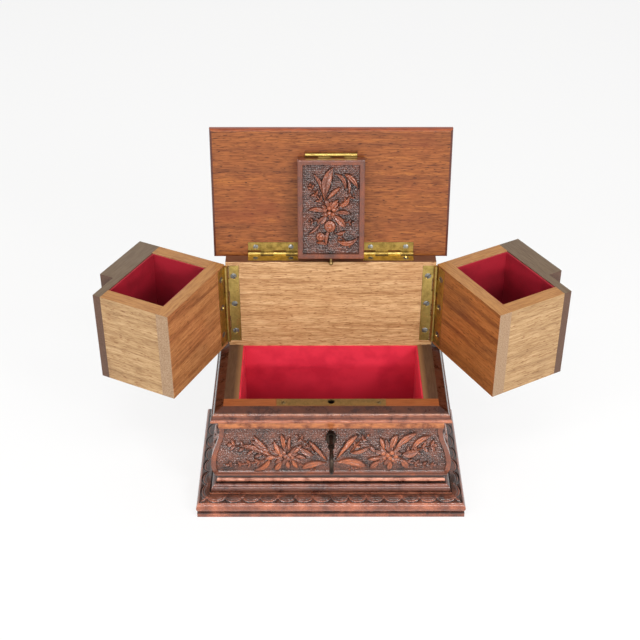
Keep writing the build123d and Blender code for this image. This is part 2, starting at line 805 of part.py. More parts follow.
build_plinth()
build_mouldings()
build_carcass()
build_compartment_linings()
build_lid()
build_flap()
build_tray("left", -1)
build_tray("right", 1)
build_side_hinges()
build_lid_hinges()
build_flap_hinge()
build_lock()
build_key()
open_up()

os.makedirs("parts", exist_ok=True)
for name, shape in parts.items():
    export_step(shape, f"parts/{name}.step")

print("lid pin", lid_pin_y, lid_pin_z, "side pins", carcass_side, side_axis_y, "key axis", key_height)
print(len(parts), "nodes")
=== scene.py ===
"""Carved jewelry box, stored open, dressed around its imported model: carving, wood, satin, brass, studio."""

import logging
import math
from dataclasses import dataclass, field
from enum import Enum

import bpy
import numpy as np
from mathutils import Matrix, Vector


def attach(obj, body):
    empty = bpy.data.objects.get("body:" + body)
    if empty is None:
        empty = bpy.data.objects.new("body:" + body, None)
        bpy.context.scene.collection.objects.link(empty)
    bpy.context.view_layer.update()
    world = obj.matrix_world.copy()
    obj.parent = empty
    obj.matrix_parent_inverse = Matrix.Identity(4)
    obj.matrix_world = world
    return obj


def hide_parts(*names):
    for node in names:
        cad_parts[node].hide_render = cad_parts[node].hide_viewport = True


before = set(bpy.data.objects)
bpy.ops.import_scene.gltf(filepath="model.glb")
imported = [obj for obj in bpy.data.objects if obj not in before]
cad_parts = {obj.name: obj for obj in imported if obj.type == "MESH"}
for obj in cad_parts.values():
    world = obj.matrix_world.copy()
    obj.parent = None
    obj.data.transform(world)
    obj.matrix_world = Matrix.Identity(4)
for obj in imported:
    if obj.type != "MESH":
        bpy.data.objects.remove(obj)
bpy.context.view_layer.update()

LOG = logging.getLogger("jewelry_box")
MM = 0.001
SEED = 7
WHITE = "#FFFFFF"
HANDS = (-1, 1)
Piece = bpy.types.Object
Material = bpy.types.Material
Socket = bpy.types.NodeSocket


# Small helpers for colours, nodes and meshes

def linear(code: str) -> tuple[float, float, float, float]:
    """Turn an sRGB hex colour to linear.

    Args:
        code: six hex digits after a hash.

    Returns:
        Red, green, blue and a full alpha.
    """
    parts = [int(code[i:i + 2], 16) / 255 for i in (1, 3, 5)]
    turned = [c / 12.92 if c <= 0.04045 else ((c + 0.055) / 1.055) ** 2.4 for c in parts]
    return (*turned, 1.0)


def feed(tree: bpy.types.NodeTree, node: bpy.types.Node, settings: dict) -> None:
    """Set a node's own options, then its sockets, each by value or by link.

    Args:
        tree: the node tree.
        node: the node.
        settings: values or feeding sockets, by the option's name or the socket's name or number.
    """
    options = [name for name in settings if isinstance(name, str) and name not in node.inputs]
    for name in options:
        setattr(node, name, settings[name])
    for name, value in settings.items():
        if name in options:
            continue
        if isinstance(value, Socket):
            tree.links.new(value, node.inputs[name])
        else:
            node.inputs[name].default_value = value


def add_node(tree: bpy.types.NodeTree, kind: str, settings: dict = None) -> bpy.types.Node:
    """Add one shader node.

    Args:
        tree: the node tree.
        kind: the node's type name, after ShaderNode.
        settings: its options and sockets, as feed takes them.

    Returns:
        The new node.
    """
    node = tree.nodes.new(f"ShaderNode{kind}")
    feed(tree, node, settings or {})
    return node


def clear_selection() -> None:
    """Deselect everything before an operator adds a piece."""
    bpy.ops.object.select_all(action="DESELECT")


def fresh(name: str) -> Piece:
    """Name the object that an operator has just added.

    Args:
        name: the piece's name.

    Returns:
        The object.
    """
    piece = bpy.context.view_layer.objects.active
    piece.name = name
    piece.data.name = name
    return piece


def activate(piece: Piece) -> None:
    """Make one object the only one that operators act on."""
    clear_selection()
    piece.select_set(True)
    bpy.context.view_layer.objects.active = piece


def edit(piece: Piece, *steps) -> None:
    """Work on one object in edit mode, each step starting with all of its mesh selected.

    Args:
        piece: the object.
        steps: functions that run operators.
    """
    activate(piece)
    bpy.ops.object.mode_set(mode="EDIT")
    for step in steps:
        bpy.ops.mesh.select_all(action="SELECT")
        step()
    bpy.ops.object.mode_set(mode="OBJECT")


def fill_holes() -> None:
    """Close every open edge loop."""
    bpy.ops.mesh.fill_holes(sides=0)


def face_outward() -> None:
    """Turn all normals outward."""
    bpy.ops.mesh.normals_make_consistent(inside=False)


def coat_with(piece: Piece, finish: Material, angle: float) -> None:
    """Give a piece its one material and smooth shading.

    Args:
        piece: the object, which is active.
        finish: the material.
        angle: the sharpest angle that is smoothed, in degrees.
    """
    piece.data.materials.clear()
    piece.data.materials.append(finish)
    bpy.ops.object.shade_smooth_by_angle(angle=math.radians(angle))


def smooth(value: np.ndarray) -> np.ndarray:
    """Soft step from 0 to 1 over values from 0 to 1."""
    t = np.clip(value, 0, 1)
    return t * t * (3 - 2 * t)


def around(centre: tuple, reach: float, angle: float) -> tuple:
    """Place at a reach from a centre, at an angle in radians."""
    return centre[0] + reach * math.cos(angle), centre[1] + reach * math.sin(angle)


def turn_about(pivot: tuple, axis: str, degrees: float) -> Matrix:
    """Rotation about an axis through a point.

    Args:
        pivot: the point, in millimetres.
        axis: X, Y or Z.
        degrees: the angle.

    Returns:
        The matrix, in metres.
    """
    there = Matrix.Translation(Vector(pivot) * MM)
    return there @ Matrix.Rotation(math.radians(degrees), 4, axis) @ there.inverted()


# The box's own sizes, in millimetres, as in the model

@dataclass(frozen=True)
class BoxSizes:
    """Sizes and places that the carved pieces take from the model."""

    plinth_width: float = 220.0
    plinth_depth: float = 127.0
    plinth_thickness: float = 15.0
    plinth_toe_height: float = 4.1
    plinth_torus_top: float = 13.7
    plinth_torus_reach: float = 2.2
    plinth_slope_reach: float = 8.6
    toe_inset: float = 0.6
    moulding_reach: float = 24.5
    step_top: float = 31.0
    frieze_top: float = 77.5
    frieze_band_inset: float = 15.3
    frieze_bulge_inset: float = 13.3
    frieze_neck_inset: float = 20.8
    panel_back: float = 54.7
    carcass_front: float = -39.0
    carcass_side: float = 85.5
    side_axis_y: float = 43.3
    lid_pin: tuple = (0.0, 56.35, 179.95)
    flap_pin: tuple = (0.0, -27.6, 180.5)
    lid_open: float = 98.5
    flap_lean: float = 14.6
    left_open: float = 116.8
    right_open: float = 119.6
    flap_width: float = 53.0
    flap_back: float = -28.0
    flap_bottom: float = 98.2
    flap_top: float = 178.75
    carved_border: float = 4.4
    carved_depth: float = 1.5
    key_height: float = 70.5
    tray_bottom: float = 99.0
    tray_top: float = 177.4
    tray_back: float = 42.4
    tray_notch: float = 28.2
    lid_width: float = 191.0
    lid_front: float = -48.65
    lid_back: float = 59.75
    lid_top: float = 189.2
    lid_border: float = 9.0

    @property
    def half_width(self) -> float:
        """Half the plinth's width."""
        return self.plinth_width / 2

    @property
    def half_depth(self) -> float:
        """Half the plinth's depth."""
        return self.plinth_depth / 2


BOX = BoxSizes()
OPEN_LID = turn_about(BOX.lid_pin, "X", -BOX.lid_open)
OPEN_FLAP = OPEN_LID @ turn_about(BOX.flap_pin, "X", BOX.lid_open - BOX.flap_lean)
OPEN_LEFT = turn_about((-BOX.carcass_side, BOX.side_axis_y, 0), "Z", -BOX.left_open)
OPEN_RIGHT = turn_about((BOX.carcass_side, BOX.side_axis_y, 0), "Z", BOX.right_open)


# Finishes

class Paint:
    """A new material, with short ways to add the nodes that feed its shader."""

    def __init__(self, name: str) -> None:
        """Start with a bare shader.

        Args:
            name: the material's name.
        """
        self.material = bpy.data.materials.new(name)
        self.material.use_nodes = True
        self.tree = self.material.node_tree
        coords = add_node(self.tree, "TexCoord")
        self.place = coords.outputs["Object"]
        self.normal = coords.outputs["Normal"]

    def add(self, kind: str, settings: dict) -> Socket:
        """Add a node and give its first output."""
        return add_node(self.tree, kind, settings).outputs[0]

    def split(self, vector: Socket) -> bpy.types.NodeOutputs:
        """Split a vector into its three shares."""
        return add_node(self.tree, "SeparateXYZ", {0: vector}).outputs

    def noise(
        self, size_mm: float, detail: float, roughness: float = 0.5, vector=None, warp: float = 0.0
    ) -> Socket:
        """Noise of one size.

        Args:
            size_mm: the features' size.
            detail: the number of finer layers.
            roughness: how strong those are.
            vector: its coordinates, or None for the object's.
            warp: how far it's distorted.

        Returns:
            The noise's socket.
        """
        return self.add("TexNoise", {
            "Scale": 1 / (size_mm * MM), "Detail": detail, "Roughness": roughness, "Distortion": warp,
            "Vector": self.place if vector is None else vector,
        })

    def sum(self, operation: str, *terms, clamp: bool = False) -> Socket:
        """Do one step of arithmetic on numbers or sockets."""
        return self.add("Math", {"operation": operation, "use_clamp": clamp, **dict(enumerate(terms))})

    def spread(
        self, value: Socket, low: float, high: float, to_low: float = 0.0, to_high: float = 1.0
    ) -> Socket:
        """Map a value from one range to another."""
        return self.add("MapRange", {
            "Value": value, "From Min": low, "From Max": high, "To Min": to_low, "To Max": to_high,
        })

    def uneven(self, value: Socket, middle: float, less: float, more: float) -> Socket:
        """Roughness that a noise, usually from 0.3 to 0.7, takes below and above a middle."""
        return self.spread(value, 0.3, 0.7, middle - less, middle + more)

    def ramp(self, factor: Socket, *stops) -> Socket:
        """Colour ramp over a factor.

        Args:
            factor: the socket that drives it.
            stops: pairs of position and hex colour, in order.

        Returns:
            The ramp's colour socket.
        """
        node = add_node(self.tree, "ValToRGB", {0: factor})
        elements = node.color_ramp.elements
        while len(elements) < len(stops):
            elements.new(0.5)
        for element, (place, code) in zip(elements, stops):
            element.position = place
            element.color = linear(code)
        return node.outputs[0]

    def mix(self, factor, under, over, mode: str = "MIX") -> Socket:
        """Mix two colours by a factor.

        Args:
            factor: a socket or a number.
            under: socket or hex colour at 0.
            over: socket or hex colour at 1.
            mode: the blend mode.

        Returns:
            The mixed colour's socket.
        """
        colours = [linear(c) if isinstance(c, str) else c for c in (under, over)]
        settings = {"data_type": "RGBA", "blend_type": mode, 0: factor, 6: colours[0], 7: colours[1]}
        return add_node(self.tree, "Mix", settings).outputs[2]

    def darken(self, share: float, colour, mask: Socket) -> Socket:
        """Multiply a colour by a mask, as far as the share says."""
        return self.mix(share, colour, mask, "MULTIPLY")

    def bump(self, height, strength: float, distance_mm: float, under=None) -> Socket:
        """Raise the surface by a height.

        Args:
            height: the height's socket.
            strength: how much of it shows.
            distance_mm: the height of a full step.
            under: a coarser bump below this one, or None.

        Returns:
            The normal's socket.
        """
        settings = {"Height": height, "Strength": strength, "Distance": distance_mm * MM}
        if under is not None:
            settings["Normal"] = under
        return self.add("Bump", settings)

    def facing(
        self, part: Socket, sign: int, low: float = 0.75, high: float = 0.95
    ) -> Socket:
        """Mask of the faces that look along one direction.

        Args:
            part: the normal's share along that direction.
            sign: 1 or -1 for one way, 0 for both.
            low: the share at which the mask starts.
            high: the share at which it's full.

        Returns:
            The mask's socket.
        """
        if sign == 0:
            part = self.sum("ABSOLUTE", part)
        if sign == -1:
            part = self.sum("MULTIPLY", part, -1.0)
        return self.spread(part, low, high)

    def any_facing(self, parts: bpy.types.NodeOutputs, sides: tuple) -> Socket:
        """Mask of the faces that look along any of several directions, fading round the arrises.

        Args:
            parts: the normal's three shares.
            sides: pairs of axis number and sign.

        Returns:
            The mask's socket.
        """
        masks = [self.facing(parts[axis], sign, 0.05, 0.8) for axis, sign in sides]
        joined = masks[0]
        for mask in masks[1:]:
            joined = self.sum("MAXIMUM", joined, mask)
        return joined

    def finish(self, settings: dict) -> Material:
        """Feed the shader and hand over the material."""
        feed(self.tree, self.tree.nodes["Principled BSDF"], settings)
        return self.material


class Grain(Enum):
    """Which way the fibres run in the shut box."""

    ACROSS = 0
    DEPTH = 1


@dataclass(frozen=True)
class Streaks:
    """Noise drawn out along the grain: size across it, share of that frequency along it, layers, warp."""

    size_mm: float
    along: float
    detail: float
    warp: float


@dataclass(frozen=True)
class PlainWood:
    """Planed walnut, waxed and handled for a century: fine dark pores, soft growth bands, grubby spots.

    Outer sides that were stained and varnished get a dark glossy skin, rubbed orange where it turns the edge.
    Real fibres are too fine to show, so they're drawn about 1 mm wide.
    """

    name: str
    pale: str
    tone: str
    dark: str
    end: str
    top: str
    grain: Grain = Grain.ACROSS
    turn: tuple = (0.0, 0.0, 0.0)
    bands: Streaks = Streaks(5.0, 0.035, 4.0, 0.5)
    fibres: Streaks = Streaks(1.0, 0.09, 3.0, 0.0)
    pores: Streaks = Streaks(0.75, 0.15, 1.0, 0.3)
    blotches: Streaks = Streaks(26.0, 0.6, 4.0, 0.4)
    fibre: str = "#D6C8B8"
    pore: str = "#A08470"
    stain: str = "#5A3A26"
    stain_share: float = 0.35
    gloss: float = 0.12
    skin_gloss: float = 0.4
    roughness: float = 0.5
    skin: str = "#5E3426"
    skin_edge: str = "#A04E2C"
    arris: str = "#A04E2C"
    skin_sides: tuple = ()
    rubbed_sides: tuple = ()
    inner_strip: tuple = ()
    raised_grain: float = 0.3

    def build(self) -> Material:
        """Make the material."""
        paint = Paint(self.name)
        turn = tuple(math.radians(a) for a in self.turn)
        shut = paint.add("Mapping", {"Rotation": turn, "Vector": paint.place})
        looks = paint.add("Mapping", {"vector_type": "VECTOR", "Rotation": turn, "Vector": paint.normal})
        parts = paint.split(looks)
        bands, fibres, pores, blotch = (
            self._drawn(paint, shut, s) for s in (self.bands, self.fibres, self.pores, self.blotches)
        )
        fibre_mask = paint.ramp(fibres, (0.36, self.fibre), (0.6, WHITE))
        pore_mask = paint.ramp(pores, (0.3, self.pore), (0.4, WHITE))
        colour = paint.ramp(bands, (0.3, self.dark), (0.5, self.tone), (0.7, self.pale))
        colour = paint.darken(0.9, paint.darken(0.9, colour, fibre_mask), pore_mask)
        colour = paint.mix(paint.spread(blotch, 0.54, 0.74, 0.0, self.stain_share), colour, self.stain)
        end_tone = paint.darken(0.8, self.end, fibre_mask)
        colour = paint.mix(paint.facing(parts[self.grain.value], 0), colour, end_tone)
        top_tone = paint.darken(0.9, self.top, fibre_mask)
        colour = paint.mix(paint.facing(parts[2], 1), colour, top_tone)
        if self.inner_strip:
            from_mm, to_mm, strip = self.inner_strip
            aside = paint.sum("ABSOLUTE", paint.split(shut)[0])
            colour = paint.mix(paint.spread(aside, to_mm * MM, from_mm * MM, 0.0, 0.8), colour, strip)
        if self.rubbed_sides:
            rubbed = paint.darken(0.9, self.skin_edge, fibre_mask)
            colour = paint.mix(paint.any_facing(parts, self.rubbed_sides), colour, rubbed)
        coat = self.gloss
        if self.skin_sides:
            mask = paint.any_facing(parts, self.skin_sides)
            level = paint.sum("ADD", mask, paint.sum("MULTIPLY_ADD", blotch, 0.5, -0.25), clamp=True)
            skin = paint.ramp(level, (0.35, self.arris), (0.6, self.arris), (0.95, self.skin))
            cover = paint.spread(mask, 0.0, 0.3)
            colour = paint.mix(cover, colour, paint.darken(0.8, skin, fibre_mask))
            coat = paint.sum("MULTIPLY_ADD", cover, self.skin_gloss, self.gloss)
        return paint.finish({
            "Base Color": colour, "Roughness": paint.uneven(blotch, self.roughness, 0.08, 0.1),
            "Normal": paint.bump(pores, self.raised_grain, 0.15), "Specular IOR Level": 0.3,
            "Coat Weight": coat, "Coat Roughness": 0.15,
        })

    def _drawn(self, paint: Paint, vector: Socket, streaks: Streaks) -> Socket:
        """Noise drawn out along the grain.

        Args:
            paint: the material.
            vector: the coordinates of the shut box.
            streaks: its sizes.

        Returns:
            The noise's socket.
        """
        stretch = [1.0, 1.0, 1.0]
        stretch[self.grain.value] = streaks.along
        drawn = paint.add("VectorMath", {"operation": "MULTIPLY", 0: vector, 1: tuple(stretch)})
        return paint.noise(streaks.size_mm, streaks.detail, 0.6, drawn, streaks.warp)


@dataclass(frozen=True)
class CarvedWood:
    """Limewood carved by gouge, stained dark and varnished: dirty ground, rubbed orange tops, gloss, and a
    darkest colour that holds painted shade.
    """

    name: str
    ground: str = "#5E382A"
    middle: str = "#7E4630"
    rubbed: str = "#AE5E32"
    dirt_and_shade: str = "#2C1B16"
    roughness: float = 0.4
    coat: float = 0.95
    bump: float = 0.6

    def build(self) -> Material:
        """Make the material."""
        paint = Paint(self.name)
        height = add_node(paint.tree, "Attribute", {"attribute_name": "relief"}).outputs["Fac"]
        wear = paint.noise(11, 4.0, 0.65)
        fine = paint.noise(0.8, 2.0)
        level = paint.sum("ADD", height, paint.sum("MULTIPLY_ADD", wear, 1.3, -0.67), clamp=True)
        # the darkest stop is dirt and painted shade: cuts, the frieze's foot and the plinth's groove and
        # short sides reach it through low wear
        colour = paint.ramp(
            level, (0.0, self.dirt_and_shade), (0.24, self.ground), (0.58, self.middle), (0.92, self.rubbed)
        )
        grit = paint.ramp(fine, (0.3, "#C8B8AE"), (0.6, WHITE))
        return paint.finish({
            "Base Color": paint.darken(0.8, colour, grit),
            "Roughness": paint.uneven(wear, self.roughness, 0.1, 0.14),
            "Normal": paint.bump(fine, self.bump, 0.25), "Specular IOR Level": 0.25,
            "Coat Weight": self.coat, "Coat Roughness": 0.1,
        })


@dataclass(frozen=True)
class MouldedWood:
    """Varnished run of moulding, coloured by height: painted shade in its quirks and hollows and on its ends,
    rubbed orange on its noses.
    """

    name: str
    low_mm: float
    high_mm: float
    stops: tuple
    top: str
    roughness: float = 0.3
    coat: float = 0.85

    def build(self) -> Material:
        """Make the material."""
        paint = Paint(self.name)
        wear = paint.noise(9, 4.0, 0.65)
        drawn = paint.add("VectorMath", {"operation": "MULTIPLY", 0: paint.place, 1: (0.12, 0.12, 1.0)})
        fibre = paint.noise(0.9, 3.0, vector=drawn)
        level = paint.spread(paint.split(paint.place)[2], self.low_mm * MM, self.high_mm * MM)
        worn = paint.ramp(wear, (0.34, "#8E6A58"), (0.56, WHITE))
        streaks = paint.ramp(fibre, (0.32, "#B89A8A"), (0.58, WHITE))
        colour = paint.darken(0.7, paint.darken(0.85, paint.ramp(level, *self.stops), worn), streaks)
        looks = paint.split(paint.normal)
        # up-facing faces take the top colour; on the step, whose top lies under the frieze, that colour is
        # painted shade
        up = paint.spread(looks[2], 0.93, 0.965)
        colour = paint.mix(up, colour, paint.darken(0.8, self.top, worn))
        # the ends see less light
        shade = paint.ramp(paint.sum("ABSOLUTE", looks[0]), (0.3, WHITE), (0.6, "#8A7468"))
        waves = paint.bump(paint.noise(5, 2.0), 0.7, 0.9)
        return paint.finish({
            "Base Color": paint.darken(1.0, colour, shade),
            "Roughness": paint.uneven(wear, self.roughness, 0.1, 0.15),
            "Normal": paint.bump(fibre, 0.5, 0.25, waves), "Specular IOR Level": 0.22,
            "Coat Weight": paint.sum("MULTIPLY_ADD", up, -0.9 * self.coat, self.coat), "Coat Roughness": 0.1,
        })


@dataclass(frozen=True)
class OldMetal:
    """Cast or rolled metal gone dull with handling: a tarnish that breaks up its shine."""

    name: str
    bright: str
    tarnish: str
    share: float
    roughness: float
    patch_mm: float = 6.0

    def build(self) -> Material:
        """Make the material."""
        paint = Paint(self.name)
        patches = paint.noise(self.patch_mm, 5.0, 0.7)
        mask = paint.spread(patches, 0.38, 0.66, 0.0, self.share)
        return paint.finish({
            "Base Color": paint.mix(mask, self.bright, self.tarnish),
            "Roughness": paint.uneven(patches, self.roughness, 0.06, 0.2),
            "Normal": paint.bump(paint.noise(0.7, 2.0), 0.25, 0.05), "Metallic": 1.0,
        })


@dataclass(frozen=True)
class Satin:
    """Woven satin glued over card: a soft sheen, a fine rib of threads and slight puckers, with painted shade
    darkening it towards its foot.
    """

    name: str
    cloth: str
    deep: str
    foot: str
    low_mm: float
    high_mm: float
    sheen: float = 0.3
    thread_mm: float = 0.55

    def build(self) -> Material:
        """Make the material."""
        paint = Paint(self.name)
        threads = paint.add("TexWave", {
            "wave_type": "BANDS", "bands_direction": "Z", "Scale": 0.314 / (self.thread_mm * MM),
            "Distortion": 1.2, "Detail": 1.0, "Vector": paint.place,
        })
        puckers = paint.noise(16, 3.0)
        tone = paint.ramp(puckers, (0.35, self.deep), (0.55, self.cloth))
        # painted shade: the cloth darkens from high_mm down to low_mm, as the shadow deep in the box
        low = paint.spread(paint.split(paint.place)[2], self.high_mm * MM, self.low_mm * MM)
        lines = paint.ramp(threads, (0.0, "#D8D8D8"), (0.7, WHITE))
        height = paint.sum("MULTIPLY_ADD", threads, 0.12, puckers)
        return paint.finish({
            "Base Color": paint.darken(0.7, paint.mix(low, tone, self.foot), lines), "Roughness": 0.55,
            "Normal": paint.bump(height, 0.4, 0.6), "Sheen Weight": self.sheen, "Sheen Roughness": 0.4,
            "Sheen Tint": linear("#E04A5C"),
        })


# Carving

class Form(Enum):
    """Section of a leaf: rounded, nearly flat with a sunk vein, or hollowed along a vein."""

    RIDGE = 0
    VEIN = 1
    HOLLOW = 2


RIDGE, VEIN, HOLLOW = Form


@dataclass(frozen=True)
class Leaf:
    """One carved leaf or petal: from its foot to its tip, in millimetres on the board."""

    foot: tuple
    tip: tuple
    width: float
    bow: float = 0.0
    height: float = 1.0
    belly: float = 0.45
    form: Form = RIDGE


@dataclass(frozen=True)
class Bud:
    """One carved dome, in millimetres on the board."""

    centre: tuple
    radius: tuple
    height: float = 1.0


class ReliefField:
    """Carved height over a board, sampled at grid points, in millimetres above the sunk ground.

    A form is set in with a cut round its edge, and shows a share of what lies under it. All depths and widths
    are in millimetres.
    """

    shown_through = 0.35
    cut_depth = 0.45
    cut_reach = 0.9
    border_cut = 0.3
    wall = 0.45
    margin = 1.5
    full_height = 1.2
    twig_height = 1.2
    border_wear = 0.52
    bare_height = 0.3

    def __init__(self, across: np.ndarray, up: np.ndarray, depth: float) -> None:
        """Start with bare ground.

        Args:
            across: each point's place along the board.
            up: each point's place up the board.
            depth: how far the ground is sunk.
        """
        self.across = across
        self.up = up
        self.depth = depth
        self.raised = np.zeros_like(across)
        self.cut = np.zeros_like(across)
        self.border_mask = np.zeros_like(across)

    def _near(self, low: tuple, high: tuple, margin: float) -> tuple:
        """Index of the points inside a box, with a margin."""
        inside = (
            (self.across > low[0] - margin) & (self.across < high[0] + margin)
            & (self.up > low[1] - margin) & (self.up < high[1] + margin)
        )
        return np.nonzero(inside)

    def _lay(self, where: tuple, gap: np.ndarray, body: np.ndarray) -> None:
        """Lay a form over the ground and set it in with a cut round its edge.

        Args:
            where: the index of the points.
            gap: each point's distance outside the form's edge, negative inside.
            body: the form's height at each point.
        """
        inside = gap < 0
        self.raised[where] = np.where(
            inside, np.maximum(self.raised[where] * self.shown_through, body), self.raised[where]
        )
        ditch = self.cut_depth * np.clip(1 - np.abs(gap) / self.cut_reach, 0, 1) * (gap > -0.15)
        self.cut[where] = np.maximum(self.cut[where], ditch)

    def leaf(self, leaf: Leaf) -> None:
        """Carve one leaf.

        Args:
            leaf: its place and form.
        """
        foot = np.array(leaf.foot, float)
        tip = np.array(leaf.tip, float)
        along = tip - foot
        length = np.linalg.norm(along)
        sideways = np.array([-along[1], along[0]]) / length
        crown = (foot + tip) / 2 + sideways * leaf.bow * 2
        t = np.linspace(0, 1, 26)[:, None]
        spine = (1 - t) ** 2 * foot + 2 * t * (1 - t) * crown + t**2 * tip
        where = self._near(spine.min(0), spine.max(0), leaf.width / 2 + self.margin)
        if not len(where[0]):
            return
        points = np.stack([self.across[where], self.up[where]], 1)
        best = np.full(len(points), 1e9)
        share = np.zeros(len(points))
        side = np.zeros(len(points))
        for i in range(len(spine) - 1):
            step = spine[i + 1] - spine[i]
            run = np.dot(step, step)
            local = points - spine[i]
            s = np.clip(local @ step / run, 0, 1)
            away = local - s[:, None] * step
            distance = np.hypot(away[:, 0], away[:, 1])
            closer = distance < best
            best = np.where(closer, distance, best)
            share = np.where(closer, (i + s) / (len(spine) - 1), share)
            cross = step[0] * local[:, 1] - step[1] * local[:, 0]
            side = np.where(closer, np.sign(cross) * distance, side)
        power = math.log(0.5) / math.log(leaf.belly)
        half = leaf.width / 2 * np.sin(np.pi * np.clip(share, 0.0, 1.0) ** power) ** 0.75
        half = np.maximum(half, 1e-3)
        gap = best - half
        rel = np.clip(best / half, 0, 1)
        if leaf.form is HOLLOW:
            section = 0.62 + 0.38 * rel**2 - 0.3 * np.exp(-(side / 0.35) ** 2)
        elif leaf.form is VEIN:
            section = 0.95 - 0.25 * rel**2 - 0.4 * np.exp(-(side / 0.3) ** 2)
        else:
            section = 1.0 - 0.45 * rel**1.5
        wall = smooth(-gap / self.wall)
        ends = 0.55 + 0.45 * np.sin(np.pi * np.clip(share, 0, 1)) ** 0.5
        self._lay(where, gap, leaf.height * section * wall * ends)

    def bud(self, bud: Bud) -> None:
        """Carve one dome.

        Args:
            bud: its place and form.
        """
        rx, rz = bud.radius
        low = (bud.centre[0] - rx, bud.centre[1] - rz)
        high = (bud.centre[0] + rx, bud.centre[1] + rz)
        where = self._near(low, high, self.margin)
        radial = np.hypot((self.across[where] - bud.centre[0]) / rx, (self.up[where] - bud.centre[1]) / rz)
        gap = (radial - 1) * min(rx, rz)
        self._lay(where, gap, bud.height * np.sqrt(np.clip(1 - radial**2, 0, 1)) ** 0.7)

    def petals(
        self, centre: tuple, inner: float, outer: float, count: int, width: float, height: float
    ) -> None:
        """Carve a ring of petals.

        Args:
            centre: the flower's middle.
            inner: where the petals start.
            outer: how far the long ones reach.
            count: how many.
            width: each one's width.
            height: each one's height.
        """
        for i in range(count):
            angle = 2 * math.pi * (i + 0.35) / count
            foot, tip = around(centre, inner, angle), around(centre, outer * (1.0 if i % 2 else 0.8), angle)
            self.leaf(Leaf(foot, tip, width, 0.3 * (-1) ** i, height, 0.5, HOLLOW))

    def sprig(self, foot: tuple, tip: tuple, bow: float, pairs: int, size: float) -> None:
        """Carve a stem with leaves on both sides and one at its end.

        Args:
            foot: where the stem starts.
            tip: where its last leaf ends.
            bow: how far the stem bends.
            pairs: how many pairs of leaves.
            size: the largest leaf's length.
        """
        a, b = np.array(foot, float), np.array(tip, float)
        run = b - a
        aside = np.array([-run[1], run[0]]) / np.linalg.norm(run)
        crown = (a + b) / 2 + aside * bow * 2
        height = self.twig_height
        self.leaf(Leaf(foot, tip, 1.5, bow, 0.8 * height, 0.3))
        for i in range(pairs):
            s = (i + 0.7) / (pairs + 0.6)
            spot = (1 - s) ** 2 * a + 2 * s * (1 - s) * crown + s**2 * b
            way = 2 * (1 - s) * (crown - a) + 2 * s * (b - crown)
            way /= np.linalg.norm(way)
            for hand in HANDS:
                turn = hand * math.radians(46 + 6 * (i % 2))
                toward = np.array([
                    way[0] * math.cos(turn) - way[1] * math.sin(turn),
                    way[0] * math.sin(turn) + way[1] * math.cos(turn),
                ])
                end = spot + toward * size * (1 - 0.35 * s)
                self.leaf(Leaf(tuple(spot), tuple(end), size * 0.36, hand * -0.5, height, 0.5, VEIN))
        start = 0.28 * crown + 0.72 * b
        self.leaf(Leaf(tuple(start), tip, size * 0.4, 0.0, height, 0.5, VEIN))

    def edelweiss(self, centre: tuple, radius: float, petals: int = 9, start: float = 0.0) -> None:
        """Carve an edelweiss: woolly pointed petals, long and short by turns, round a tuft of florets.

        Args:
            centre: the flower's middle.
            radius: the reach of its long petals.
            petals: how many.
            start: the first petal's angle, in degrees.
        """
        for i in range(petals):
            angle = math.radians(start + 360 * i / petals)
            tip = around(centre, radius * (1.0 if i % 2 == 0 else 0.72), angle)
            self.leaf(Leaf(centre, tip, radius * 0.36, height=1.15, belly=0.55, form=HOLLOW))
        for i in range(6):
            spot = around(centre, radius * 0.19, math.radians(start + 60 * i))
            self.bud(Bud(spot, (radius * 0.11, radius * 0.11), 1.6))
        self.bud(Bud(centre, (radius * 0.12, radius * 0.12), 1.8))

    def twigs(self, rows: tuple) -> None:
        """Carve sprigs in order."""
        for row in rows:
            self.sprig(*row)

    def carve(self, rows: tuple) -> None:
        """Carve leaves and buds in order.

        Args:
            rows: five numbers for a bud, its centre, radii and height, and more for a leaf, in its own order.
        """
        for row in rows:
            if len(row) == 5:
                self.bud(Bud(row[:2], row[2:4], row[4]))
            else:
                self.leaf(Leaf(row[:2], row[2:4], *row[4:]))

    def border(self, inside: np.ndarray, soft: float = 0.5) -> None:
        """Leave a plain border standing.

        Args:
            inside: each point's distance inside the border's inner edge, negative on the border.
            soft: the width of its sloping wall.
        """
        self.border_mask = np.maximum(self.border_mask, smooth(-inside / soft))
        ditch = self.border_cut * np.clip(1 - np.abs(inside) / self.cut_reach, 0, 1) * (inside > 0)
        self.cut = np.maximum(self.cut, ditch)

    def stipple(self, pitch: float, depth: float, seed: int) -> None:
        """Punch the ground all over with small round dents.

        Args:
            pitch: the dents' spacing.
            depth: how deep they are.
            seed: fixes their scatter.
        """
        columns = np.floor(self.across / pitch).astype(int)
        rows = np.floor(self.up / pitch).astype(int)
        dents = np.zeros_like(self.across)
        for dx in (-1, 0, 1):
            for dz in (-1, 0, 1):
                cx, cz = columns + dx, rows + dz
                # three large primes scatter the dents alike on every run
                mixed = (cx * 73856093) ^ (cz * 19349663) ^ (seed * 83492791)
                jitter_x = ((mixed >> 3) % 1000) / 1000
                jitter_z = ((mixed >> 13) % 1000) / 1000
                size = 0.7 + 0.5 * (((mixed >> 7) % 100) / 100)
                px = (cx + 0.2 + 0.6 * jitter_x) * pitch
                pz = (cz + 0.2 + 0.6 * jitter_z) * pitch
                away = np.hypot(self.across - px, self.up - pz)
                dents = np.maximum(dents, size * np.exp(-((away / (0.38 * pitch)) ** 2)))
        self.cut += dents * depth
        # flat cuts of the gouge on the raised forms
        facets = np.sin(self.across * 2.1 + seed) * np.sin(self.up * 2.4 + 2 * seed)
        facets += 0.6 * np.sin(self.across * 3.7 - self.up * 2.9)
        self.raised += 0.05 * facets * (self.raised > self.bare_height)

